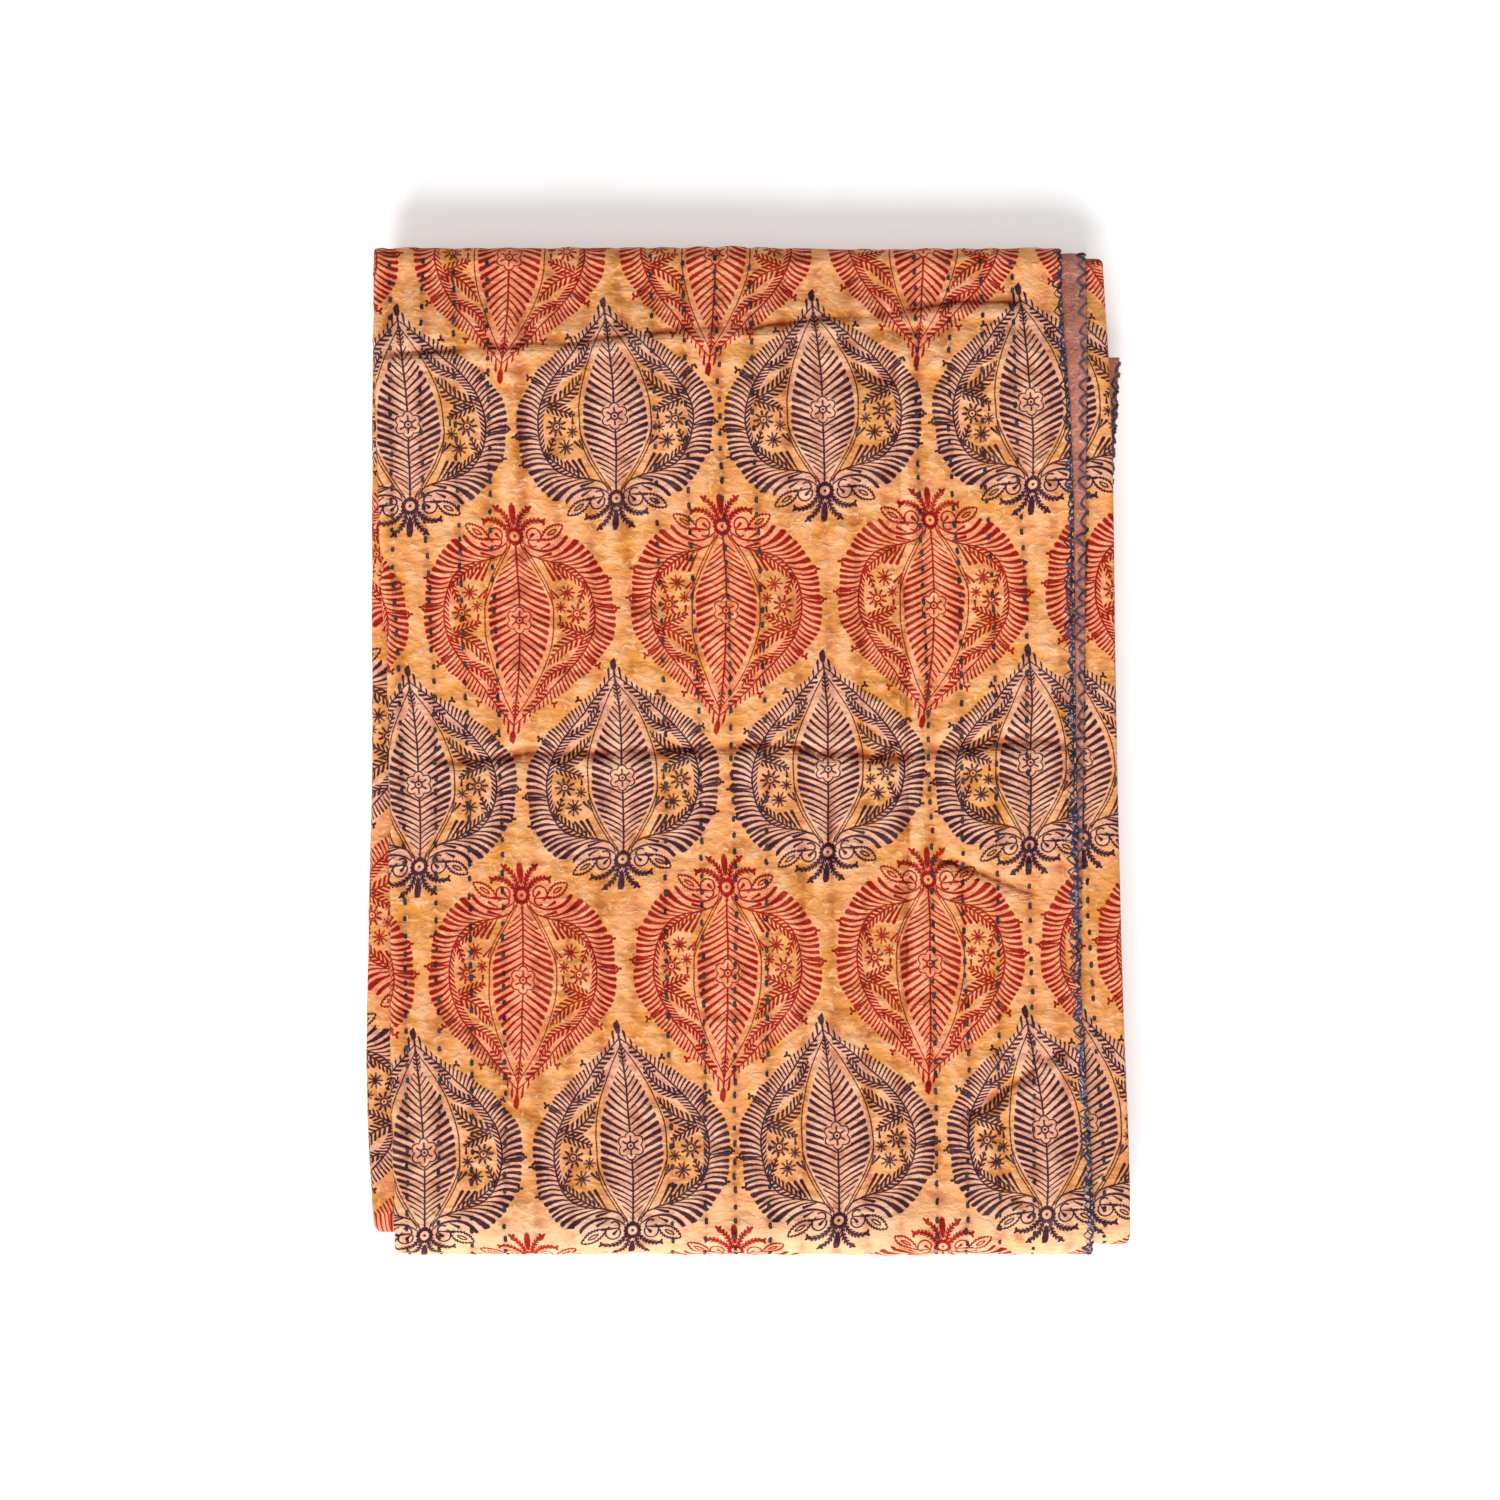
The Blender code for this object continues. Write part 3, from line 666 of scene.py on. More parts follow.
def atlas_corners(blocks, faces, sheet):
    """Image coordinates of every corner: a large area for the top, a fair one for the underside, less inside.

    sheet gives, for each block and stretch across, its corners or its width in 1024ths of the image, for
    columns that stand side by side.
    """
    corners = np.zeros((len(faces), 3, 2))
    starts = np.array([block["start"] for block in blocks] + [np.inf])
    owner = np.searchsorted(starts, faces, side="right") - 1
    ends = [stretch[1] for stretch in STRETCHES]
    left = ATLAS_SIDE
    for number, block in enumerate(blocks):
        across, along = cell_positions(block)
        mine = np.flatnonzero((owner == number).all(axis=1))
        row, column = np.divmod(faces[mine] - block["start"], len(block["order"]))
        first = column.min(axis=1)
        stretch = np.searchsorted(ends, block["order"][first] + 1e-6, side="right")
        stretch = np.clip(stretch, 0, len(STRETCHES) - 1)
        for index, share in enumerate(sheet[block["name"]]):
            cells = np.flatnonzero(stretch == index)
            if not len(cells):
                continue
            low, high = first[cells].min(), first[cells].max() + 1
            place = (across[column[cells]] - across[low]) / (across[high] - across[low])
            if isinstance(share, tuple):
                x0, y0, x1, y1 = share
            else:
                x0, x1 = left, left + share * ATLAS_GRAIN
                y0, y1 = ATLAS_BAND
                left = x1 + ATLAS_GRAIN
            corners[mine[cells], :, 0] = x0 + place * (x1 - x0)
            corners[mine[cells], :, 1] = y1 - along[row[cells]] / along[-1] * (y1 - y0)
    between = np.flatnonzero((owner != owner[:, :1]).any(axis=1))
    for number, block in enumerate(blocks):
        for side in range(3):
            here = between[owner[between, side] == number]
            order = block["order"][(faces[here, side] - block["start"]) % len(block["order"])]
            zone = np.minimum(owner[here].min(axis=1), 2)
            corners[here, side, 0] = 0.64 + (order + 0.1) / 7.2 * 0.35
            corners[here, side, 1] = 0.004 + zone * 0.006 + (number - zone) * 0.005
    return corners


def block_faces(count, width, start):
    """Two triangles for each square of a regular block of points."""
    row, column = np.meshgrid(np.arange(count - 1), np.arange(width - 1), indexing="ij")
    a = start + row * width + column
    b, c, d = a + width, a + width + 1, a + 1
    odd = (row + column) % 2 == 1
    one = np.where(odd[..., None], np.stack([a, b, d], -1), np.stack([a, b, c], -1))
    two = np.where(odd[..., None], np.stack([b, c, d], -1), np.stack([a, c, d], -1))
    return np.concatenate([one.reshape(-1, 3), two.reshape(-1, 3)])


def build_cloth(name, steps, across, side_of_quilt, sheet):
    """The mesh of one cloth, with its flat coordinate, and its blocks by name for finding places on it."""
    rows = length_rows(steps)
    names = rows["block"]
    starts = np.flatnonzero(np.concatenate([[True], names[1:] != names[:-1]]))
    blocks, points, flat, creases, faces = [], [], [], [], []
    total = 0
    for first, last in zip(starts, [*starts[1:], len(names)]):
        columns = across_columns(shares_across(across[names[first]]))
        here = {key: values[first:last, None] for key, values in rows.items()}
        place, flat_points, crease_points = cloth_grid(here, columns, side_of_quilt)
        order = np.array([c["order"] for c in columns])
        if blocks:
            before = blocks[-1]["order"]
            faces.extend(zipped(before, order, total - len(before), total))
        faces.extend(block_faces(last - first, len(columns), total))
        blocks.append({"name": str(names[first]), "points": place, "u": flat_points[..., 0],
                       "v": flat_points[..., 1], "order": order, "along": here["image_along"][:, 0],
                       "start": total})
        for everything, part in ((points, place), (flat, flat_points), (creases, crease_points)):
            everything.append(part.reshape(-1, 3))
        total += (last - first) * len(columns)
    faces = np.array(faces)
    if side_of_quilt > 0:
        faces = faces[:, ::-1]
    cloth = mesh_object(name, np.concatenate(points), faces, atlas_corners(blocks, faces, sheet))
    store_places(cloth, "flat_place", np.concatenate(flat))
    store_places(cloth, "beside_crease", np.concatenate(creases))
    return cloth, {block["name"]: block for block in blocks}


def added(name, data, place=(0.0, 0.0, 0.0)):
    """Puts new data in the scene as an object."""
    thing = bpy.data.objects.new(name, data)
    thing.location = place
    bpy.context.scene.collection.objects.link(thing)
    return thing


def mesh_object(name, points, faces, corners=None):
    """A smooth triangle mesh from points in millimetres, with image coordinates for its corners."""
    mesh = bpy.data.meshes.new(name)
    mesh.vertices.add(len(points))
    mesh.vertices.foreach_set("co", (np.asarray(points) * MM).astype(np.float32).ravel())
    mesh.loops.add(len(faces) * 3)
    mesh.loops.foreach_set("vertex_index", np.asarray(faces, dtype=np.int32).ravel())
    mesh.polygons.add(len(faces))
    mesh.polygons.foreach_set("loop_start", np.arange(0, len(faces) * 3, 3, dtype=np.int32))
    mesh.polygons.foreach_set("loop_total", np.full(len(faces), 3, dtype=np.int32))
    mesh.update(calc_edges=True)
    if corners is not None:
        layer = mesh.uv_layers.new(name="OFBake")
        layer.data.foreach_set("uv", corners.astype(np.float32).ravel())
    mesh.validate()
    mesh.shade_smooth()
    return added(name, mesh)


def store_places(cloth, name, places):
    """Stores for the material each point's place on the flat cloth or beside a crease."""
    layer = cloth.data.attributes.new(name, "FLOAT_VECTOR", "POINT")
    layer.data.foreach_set("vector", places.astype(np.float32).ravel())


# --- Stitches -------------------------------------------------------------------------------------------


def place_on(block, u, v):
    """Points of the cloth at flat places in a block, by interpolation, and normals there."""
    count, width = block["u"].shape
    points = block["points"]
    r = np.clip(np.interp(v, block["v"][:, 0], np.arange(count)), 0, count - 1.001)
    r0 = r.astype(int)
    share = (r - r0)[:, None]
    ends = []
    for row in (r0, r0 + 1):
        c = np.array([np.interp(-at, -block["u"][number], np.arange(width)) for number, at in zip(row, u)])
        c = np.clip(c, 0, width - 1.001)
        c0 = c.astype(int)
        part = (c - c0)[:, None]
        ends.append((points[row, c0] * (1 - part) + points[row, c0 + 1] * part, c0))
    place = ends[0][0] * (1 - share) + ends[1][0] * share
    c0 = ends[0][1]
    return place, unit(np.cross(points[r0 + 1, c0] - points[r0, c0], points[r0, c0 + 1] - points[r0, c0]))


def unit(vectors):
    """Vectors along the last axis, each divided by its length."""
    return vectors / np.maximum(np.linalg.norm(vectors, axis=-1), 1e-9)[..., None]


def tubes(name, lines, normals, radii, sides, flatten=1.0):
    """One mesh of many tubes with equal numbers of points; lines are (tubes, points, 3)."""
    count, length, _ = lines.shape
    tangent = unit(np.gradient(lines, axis=1))
    side = unit(np.cross(tangent, normals))
    up = np.cross(side, tangent)
    turns = 2 * np.pi * np.arange(sides) / sides
    ring = side[:, :, None] * np.cos(turns)[:, None] + up[:, :, None] * np.sin(turns)[:, None] * flatten
    points = (lines[:, :, None] + ring * radii[..., None, None]).reshape(-1, 3)
    tube, step, turn = np.meshgrid(np.arange(count), np.arange(length - 1), np.arange(sides), indexing="ij")
    a = tube * length * sides + step * sides + turn
    b = a - turn + (turn + 1) % sides
    c, d = b + sides, a + sides
    faces = [np.stack([a, b, c], -1).reshape(-1, 3), np.stack([a, c, d], -1).reshape(-1, 3)]
    start = np.arange(count) * length * sides
    end = start + (length - 1) * sides
    for i in range(1, sides - 1):
        faces += [np.stack([start, start + i + 1, start + i], -1), np.stack([end, end + i, end + i + 1], -1)]
    faces = np.concatenate(faces)
    return mesh_object(name, points, faces, thread_corners(faces, count, length, sides))


def thread_corners(faces, count, length, sides):
    """Image coordinates of threads: a cell of a square grid for each."""
    cells = int(np.ceil(np.sqrt(count)))
    tube, rest = np.divmod(faces, length * sides)
    step, turn = np.divmod(rest, sides)
    cap = (step.max(axis=1) == step.min(axis=1))[:, None]
    wraps = ((turn.max(axis=1) == sides - 1) & (turn.min(axis=1) == 0))[:, None] & ~cap
    turn = np.where(wraps & (turn == 0), sides, turn)
    angle = turn * 2 * np.pi / sides
    x = np.where(cap, 0.5 + 0.3 * np.cos(angle), 0.08 + 0.84 * step / (length - 1))
    y = np.where(cap, 0.5 + 0.3 * np.sin(angle), 0.08 + 0.84 * turn / sides)
    return np.stack([(tube % cells + x) / cells, (tube // cells + y) / cells], axis=-1)


def stitch_places(u_range, v_range):
    """Flat middle, turn and length of every running stitch in part of the cloth."""
    rng = np.random.default_rng(SEED + int(abs(u_range[0]) * 7 + abs(v_range[0])) % 9973)
    places = []
    first = int(np.ceil((u_range[0] - FIRST_ROW) / ROW_PITCH))
    last = int(np.floor((u_range[1] - FIRST_ROW) / ROW_PITCH))
    for number in range(first, last + 1):
        if number % ROWS_APART >= ROWS_TOGETHER:
            continue
        v = v_range[0] + rng.uniform(0, STITCH_PITCH)
        pace = rng.uniform(0.92, 1.12)
        while v < v_range[1]:
            u = FIRST_ROW + ROW_PITCH * number + row_wander(v, number) + rng.normal(0, 0.25)
            if u_range[0] + 1.0 < u < u_range[1] - 1.0:
                places.append((u, v, rng.normal(0, 0.08), STITCH_LENGTH * rng.uniform(0.75, 1.25)))
            v += STITCH_PITCH * pace * rng.uniform(0.8, 1.22)
    return np.array(places)


def stitch_lines(block, u_range, v_range):
    """Centre lines and radii of stitches that come up through the cloth, lie on it and go down again."""
    u, v, turn, size = stitch_places(u_range, v_range).T
    lines, normals = [], []
    for share, height in STITCH_ARCH:
        place, normal = place_on(block, u + share * size * np.sin(turn), v + share * size * np.cos(turn))
        place = place + normal * height
        place[:, 2] = np.maximum(place[:, 2], LOWEST_STITCH)
        lines.append(place)
        normals.append(normal)
    return np.stack(lines, axis=1), np.stack(normals, axis=1), np.tile(STITCH_RADII, (len(u), 1))


def hem_lines(block, hem_order, v_range, strand="overcast"):
    """Centre lines and radii of the hem's sewing: each period runs in from the edge and back out to it."""
    period, depth, thread = HEM_STRANDS[strand]
    rng = np.random.default_rng(SEED + 31 + len(strand) + int(v_range[0]) % 997)
    block_v = block["v"][:, 0]
    column = int(np.flatnonzero(block["order"] == hem_order)[0])
    outward = 1.0 if hem_order == 0.0 else -1.0
    v = v_range[0] + period * np.cumsum(rng.uniform(0.7, 1.3, int((v_range[1] - v_range[0]) / period)))
    reach = period * 0.5 + 4.0
    v = v[(v > block_v[0] + reach) & (v < block_v[-1] - reach)]
    depth = depth * rng.uniform(0.5, 1.25, len(v))
    lean = rng.normal(0.0, 1.3, len(v))
    shares = np.linspace(0.0, 1.0, HEM_POINTS)
    radii = thread * rng.uniform(0.8, 1.15, len(v))[:, None] * (1.0 - 0.2 * np.sin(np.pi * shares))
    lines, normals = [], []
    for share, inward in zip(shares, 1 - np.abs(2 * shares - 1) ** 1.4):
        at_v = v + (share - 0.5) * period + lean * inward
        edge = np.interp(at_v, block_v, block["u"][:, column])
        place, normal = place_on(block, edge + outward * (1.3 - inward * (depth + 1.3)), at_v)
        place = place + normal * 0.35
        place[:, 2] = np.maximum(place[:, 2], thread)
        lines.append(place)
        normals.append(normal)
    return np.stack(lines, axis=1), np.stack(normals, axis=1), radii


def threads(name, material, parts, flatten=1.0):
    """One piece of thread from several sets of lines, normals and radii."""
    lines, normals, radii = [np.concatenate(arrays) for arrays in zip(*parts)]
    piece = tubes(name, lines, normals, radii, THREAD_SIDES, flatten)
    piece.data.materials.append(material)
    return piece


# --- Materials ------------------------------------------------------------------------------------------


class Signal:
    """A number, vector or colour in the tree of a material; arithmetic on it adds Math nodes."""

    tree = None

    def __init__(self, socket):
        self.socket = socket

    def __add__(self, other):
        return math_of("ADD", self, other)

    def __sub__(self, other):
        return math_of("SUBTRACT", self, other)

    def __rsub__(self, other):
        return math_of("SUBTRACT", other, self)

    def __mul__(self, other):
        return math_of("MULTIPLY", self, other)

    def __neg__(self):
        return math_of("MULTIPLY", self, -1.0)


def feed(socket, value):
    """Links a signal to a socket, or sets a plain value there."""
    if isinstance(value, Signal):
        Signal.tree.links.new(value.socket, socket)
    else:
        socket.default_value = value


def made(kind, sockets, **settings):
    """The outputs of a new node, with its settings made and its sockets fed."""
    node = Signal.tree.nodes.new("ShaderNode" + kind)
    for name, value in settings.items():
        setattr(node, name, value)
    for socket, value in sockets.items():
        feed(node.inputs[socket], value)
    return [Signal(output) for output in node.outputs]


def math_of(operation, *values):
    return made("Math", dict(enumerate(values)), operation=operation)[0]


def ramp(value, low, high, from_value=0.0, to_value=1.0):
    """A smooth step as a value goes from low to high."""
    sockets = {"Value": value, "From Min": low, "From Max": high, "To Min": from_value, "To Max": to_value}
    return made("MapRange", sockets, interpolation_type="SMOOTHSTEP")[0]


def curve(at, table):
    """Reads a smooth curve through a table of places and values."""
    low = min(value for _, value in table)
    high = max(value for _, value in table)
    start, span = table[0][0], table[-1][0] - table[0][0]
    node = Signal.tree.nodes.new("ShaderNodeFloatCurve")
    points = node.mapping.curves[0].points
    for _ in range(len(table) - 2):
        points.new(0.5, 0.5)
    for point, (place, value) in zip(points, table):
        point.location = ((place - start) / span, (value - low) / (high - low))
        point.handle_type = "AUTO_CLAMPED"
    node.mapping.update()
    feed(node.inputs["Value"], (at - start) * (1 / span))
    return Signal(node.outputs[0]) * (high - low) + low


def texture(vector, scale, detail=2.0, rough=0.5):
    return made("TexNoise", {"Vector": vector, "Scale": scale, "Detail": detail, "Roughness": rough})


def crackle(vector, scale):
    """Distance to the nearest line of an irregular net."""
    sockets = {"Vector": vector, "Scale": scale}
    return made("TexVoronoi", sockets, feature="DISTANCE_TO_EDGE", voronoi_dimensions="2D")[0]


def vector_of(x, y, z=0.0):
    return made("CombineXYZ", {0: x, 1: y, 2: z})[0]


def parts_of(vector):
    return made("SeparateXYZ", {0: vector})


def blended(share, one, other, mode="MIX"):
    """Mixes two colours."""
    return made("Mix", {"Factor": share, 6: one, 7: other}, data_type="RGBA", blend_type=mode)[2]


def colour(red, green, blue):
    """A colour from its usual 0 to 255 values."""
    parts = np.array([red, green, blue]) / 255.0
    linear = np.where(parts <= 0.04045, parts / 12.92, ((parts + 0.055) / 1.055) ** 2.4)
    return (*[float(part) for part in linear], 1.0)


def new_material(name, roughness, specular):
    material = bpy.data.materials.new(name)
    material.use_nodes = True
    Signal.tree = material.node_tree
    shader = material.node_tree.nodes["Principled BSDF"]
    shader.inputs["Roughness"].default_value = roughness
    shader.inputs["Specular IOR Level"].default_value = specular
    return material, shader


def stored(name):
    return made("Attribute", {}, attribute_name=name)[1]


def object_place():
    return made("TexCoord", {})[3]


def finished(shader, paint, height, distance=MM, strength=1.0):
    """Gives a shader its colour, and its bump from a height that is a number of distances."""
    feed(shader.inputs["Base Color"], paint)
    sockets = {"Strength": strength, "Distance": distance, "Height": height}
    feed(shader.inputs["Normal"], made("Bump", sockets)[0])


def hypotenuse(a, b):
    return math_of("SQRT", a * a + b * b)


def lowest(*values):
    return reduce(lambda one, other: math_of("MINIMUM", one, other), values)


def highest(*values):
    return reduce(lambda one, other: math_of("MAXIMUM", one, other), values)


def size_of(value):
    return math_of("ABSOLUTE", value)


def comb(phase, pitch):
    """Distance across to the middle of the nearest of many parallel strokes."""
    return size_of(math_of("FLOORED_MODULO", phase, pitch) - pitch / 2)


def round_ended(across, beyond, half_width):
    """Distance to a stroke that ends in a half circle where beyond is zero."""
    return hypotenuse(highest(beyond + half_width, 0.0), across) - half_width


def along_line(x, y, start, end):
    """How far each point is along a line, how far beside it, and the line's length."""
    length = np.hypot(end[0] - start[0], end[1] - start[1])
    along_x = (end[0] - start[0]) / length
    along_y = (end[1] - start[1]) / length
    along = x * along_x + y * along_y - (start[0] * along_x + start[1] * along_y)
    beside = x * along_y - y * along_x - (start[0] * along_y - start[1] * along_x)
    return along, beside, length


def stroke(x, y, start, end, half_width):
    """A stroke that swells from a thin start to a round end."""
    along, beside, length = along_line(x, y, start, end)
    return round_ended(beside, highest(along - length, -along), highest(along * (half_width / length), 0.15))


def frond(x, y, start, end, reach, pitch, bow=0.0, spine=0.4):
    """A bowed spine with strokes on both sides that lean towards its end and shorten there."""
    along, beside, length = along_line(x, y, start, end)
    if bow:
        beside = beside - along * (-along + length) * (4 * bow / length**2)
    out = size_of(beside)
    across = comb(along - out * 0.9, pitch) * 0.75
    blades = round_ended(across, out - lowest((-along + length) * 0.6 + 2.0, reach), out * 0.07 + 0.42)
    return highest(lowest(blades, out - spine), -along, along - length - 1.5)


def trefoil(x, y, place, turn):
    """Three small leaves at the end of a sprig."""
    u = x - place[0]
    v = y - place[1]
    lobes = math_of("COSINE", math_of("ARCTAN2", v, u) * 3.0 + turn) * 1.4 + 2.1
    return hypotenuse(u, v) - lobes


def star(x, y, place, count, outer, weight):
    """Spokes about a point, and the distance from that point."""
    u = x - place[0]
    v = y - place[1]
    radius = hypotenuse(u, v)
    angle = math_of("ARCTAN2", v, u)
    spokes = size_of(math_of("SINE", angle * (count / 2))) * radius * (2 / count)
    return round_ended(spokes, radius - outer, weight), radius


def drawn(kind, x, y, columns, rows):
    """Draws each row of a table with one kind of mark."""
    return [kind(x, y, **row) for row in named_rows(columns, rows)]


def central_leaf(x, y, lens):
    """The veined leaf in the middle, its bud and the flower on it."""
    steep = curve(y, BLADE_SLOPE)
    across = comb(curve(y - x * steep + x * x * 0.005, BLADE_COUNT) * 6.0, 6.0)
    edge = highest(lens + size_of(y - 68.0) * 0.05 + 3.2, x - y * 0.62 - 1.0)
    blades = highest(round_ended(across, edge, x * 0.042 + 0.25), 10.0 - y)
    rib = highest(x - 0.5, 8.0 - y, y - 172.0)
    bud = frond(x, y, (0.0, 160.0), (0.0, 173.0), 3.2, 4.0)
    u = y - FLOWER_HEIGHT
    radius = hypotenuse(x, u)
    angle = math_of("ARCTAN2", x, u) * 3.0
    petals = size_of(radius - 9.6 - size_of(math_of("COSINE", angle)) * 3.4) - 0.3
    spokes = size_of(math_of("SINE", angle)) * radius * (1 / 3)
    spokes = highest(spokes - 0.4, radius - 8.6, 4.6 - radius)
    heart = lowest(size_of(radius - 3.4) - 0.4, radius - 0.8)
    leaf = highest(lowest(blades, rib), 13.8 - radius)
    return lowest(leaf, bud, petals, spokes, heart)


def wreath(x, y):
    """Vine around the leaf, with clubs outside and small leaves inside."""
    u = FLOWER_HEIGHT - y
    radius = hypotenuse(x, u)
    angle = math_of("ARCTAN2", x, u) * (180 / np.pi)
    out = radius - curve(angle, VINE)
    count = curve(angle, CLUB_COUNT) * 5.4
    length = curve(angle, CLUB_LENGTH)
    leaning = count - (-math_of("EXPONENT", out * -0.125) + 1.0) * curve(angle, CLUB_LEAN)
    wide = lowest(out * 0.05, 0.9) + 0.35
    clubs = highest(round_ended(comb(leaning, 5.4), out - length, wide), -out, -leaning)
    small = comb(count + out * 1.2, 5.4) * 0.7
    gap = lowest(angle - 134.0, 156.0 - angle)
    leaves = highest(small - 0.6, out, highest(angle * -0.06 + 0.6, -7.0) - out,
                     62.0 - angle, angle - 175.0, gap)
    vine = highest(size_of(out) - 0.4, 4.0 - angle)
    return lowest(clubs, leaves, vine), out, length


def base_scrolls(x, y):
    """Ring that both stems grow from, with scrolls, leaves and a drop around it."""
    radius = hypotenuse(x, y)
    angle = math_of("ARCTAN2", y, x)
    ring = highest(radius - 7.4 - size_of(math_of("COSINE", angle * 7.0)) * 1.1, 5.0 - radius)
    drop = hypotenuse(x * (y * 0.03 + 1.75), (y + 20.5) * 0.34) - 3.1
    arc_width = x * 0.032 - 0.1
    arc = size_of(hypotenuse(x - 26.5, y + 14.5) - 27.6)
    arc = highest(round_ended(arc, -y - 1.0, arc_width), 7.0 - x)
    loop = highest(size_of(hypotenuse(x - 18.6, y + 1.2) - 6.9) - 0.35, y - x * 0.3 + 2.0)
    curl = highest(size_of(hypotenuse(x - 17.4, y - 4.8) - 4.6) - 0.4, x * 0.9 - y - 10.0)
    u = (x - 36.6) * 0.866 - (y + 4.6) * 0.5
    v = size_of((x - 36.6) * 0.5 + (y + 4.6) * 0.866)
    bulge = u * u
    rim = v - 4.6 + bulge * 0.029 - size_of(math_of("SINE", u * 1.05)) * 1.1
    leaf = highest(size_of(rim) - 0.7, size_of(u) - 12.8)
    eye = highest(size_of(v - 1.5 + bulge * 0.05) - 0.3, size_of(u) - 5.2)
    sprigs = lowest(*drawn(stroke, x, y, STROKE_COLUMNS, BASE_STROKES),
                    *drawn(frond, x, y, FROND_COLUMNS, BASE_FRONDS),
                    *drawn(trefoil, x, y, TREFOIL_COLUMNS, BASE_TREFOILS))
    return lowest(ring, radius - 1.0, drop, arc, loop, curl, leaf, eye, sprigs)


def leaf_motif(x, y):
    """Distance to the ink of one leaf motif, and the measures that its fills use."""
    x = size_of(x)
    lens = (x - curve(y, LENS)) * 0.95
    leaf = central_leaf(x, y, lens)
    gap = highest(lowest(y * -0.08 + 5.3, 1.4), 0.0)
    double = highest(size_of(size_of(lens) - gap) - 0.15, 8.0 - y, y - 176.0)
    ring, out, length = wreath(x, y)
    daisy, daisy_radius = star(x, y, (57.0, 74.0), 9, 9.6, 0.6)
    daisy = highest(daisy, 5.0 - daisy_radius)
    daisy = lowest(daisy, size_of(daisy_radius - 3.4) - 0.4, daisy_radius - 0.6)
    big, _ = star(x, y, (48.5, 53.5), 9, 7.6, 0.25)
    small, _ = star(x, y, (41.5, 67.5), 8, 5.2, 0.15)
    ferns = lowest(*drawn(frond, x, y, FROND_COLUMNS, FERNS), *drawn(stroke, x, y, STROKE_COLUMNS, STEMS))
    inner = highest(lowest(ferns, daisy, big, small), 2.0 - lens, out + 0.5)
    tip = highest(lowest(hypotenuse(x, (y - 193.5) * 0.42) - 2.6, x - 0.4), 172.0 - y, y - 200.5)
    sprigs = lowest(*drawn(trefoil, x, y, TREFOIL_COLUMNS, TREFOILS),
                    *drawn(stroke, x, y, STROKE_COLUMNS, TWIGS))
    return lowest(leaf, double, ring, inner, tip, sprigs, base_scrolls(x, y)), lens, out - length


def block_print(u, v, warp):
    """The printed rows of leaf motifs at a flat place: ink distance, fills and whether it is a red motif."""
    warp_x, warp_y, _ = parts_of(warp)
    x = (u - LATTICE_U + u * curve(v, DRIFT_APART)) * (1 / UNIT) + (warp_x - 0.5) * BLOCK_WARP
    down = curve(v, DRIFT_DOWN) + LATTICE_V
    y = (v + size_of(u + 8.0) * LATTICE_SHEAR - down) * (-1 / UNIT) + (warp_y - 0.5) * BLOCK_WARP
    shifted_x = x + MOTIF_PITCH / 2
    shifted_y = y + LOWEST_Y
    x = math_of("FLOORED_MODULO", shifted_x, MOTIF_PITCH) - MOTIF_PITCH / 2
    y = math_of("FLOORED_MODULO", shifted_y, MOTIF_ROW) - LOWEST_Y
    column = math_of("FLOOR", shifted_x * (1 / MOTIF_PITCH))
    row = math_of("FLOOR", shifted_y * (1 / MOTIF_ROW))
    reach = lowest((y + 31.0) * 100.0, highest((y - 1.0) * 20.0, 0.0) + 51.5, y * -1.0 + 214.0)
    red = math_of("GREATER_THAN", size_of(x), reach)
    right = math_of("GREATER_THAN", x, 0.0)
    above = math_of("GREATER_THAN", y, 60.0)
    cell = vector_of(column + red * (right - 0.5), row + red * (above + 0.3))
    shift_x, shift_y, tone = parts_of(made("TexWhiteNoise", {"Vector": cell}, noise_dimensions="2D")[1])
    red_x = x - (right * 2.0 - 1.0) * (MOTIF_PITCH / 2)
    red_y = above * MOTIF_ROW - y - RED_DROP
    wide = red * (RED_WIDTH_SCALE - LEAF_SCALE) + LEAF_SCALE
    high = red * (RED_SCALE - LEAF_SCALE) + LEAF_SCALE
    x = (x + red * (red_x - x) + (shift_x - 0.5) * BLOCK_JITTER) * wide
    y = (y + red * (red_y - y) + (shift_y - 0.5) * BLOCK_JITTER) * high
    arch = y * (1 / 90.0) - 1.0
    turned_x = x + y * MOTIF_LEAN + (arch * arch - 1.0) * MOTIF_BEND
    turned_y = y - x * MOTIF_LEAN
    ink, lens, edge = leaf_motif(turned_x, turned_y)
    return ink - 0.5, lens, edge, red, tone


def creased(place):
    """Fine washed creases of the cloth: masks of their crests, for painted highlights, and of their hollows,
    for painted shade, and the height of both and the weave.
    """
    u, v, _ = parts_of(place)
    _, sway = texture(vector_of(u, v), 0.10, 2.0, 0.5)
    sway_u, sway_v, sway_w = parts_of(sway)
    swayed = vector_of(u + sway_u * 9.0, v * 1.3 + sway_v * 9.0)
    apart = vector_of(u * 1.2 - sway_v * 8.0, v * 1.2 + sway_u * 8.0, 70.0)
    lines, _ = texture(swayed, 0.085, 1.0, 0.5)
    hollows, _ = texture(apart, 0.075, 1.0, 0.5)
    soft, broken = texture(swayed, 0.16, 2.0, 0.55)
    one, two, three = parts_of(broken)
    cracked = ramp(crackle(vector_of(u + sway_w * 26.0, v + sway_u * 26.0), 0.034), 0.020, 0.004)
    cracked = cracked * ramp(three, 0.48, 0.56)
    crest = highest(ramp(size_of(lines - 0.5), 0.045, 0.0) * ramp(one, 0.42, 0.60), cracked)
    hollow = ramp(size_of(hollows - 0.5), 0.09, 0.0) * ramp(two, 0.42, 0.66)
    weave = math_of("SINE", u * (2 * np.pi / WEAVE_PITCH)) * math_of("SINE", v * (2 * np.pi / WEAVE_PITCH))
    height = crest * 0.09 - hollow * 0.07 + soft * 1.5 + weave * 0.010
    return crest, hollow, soft, height


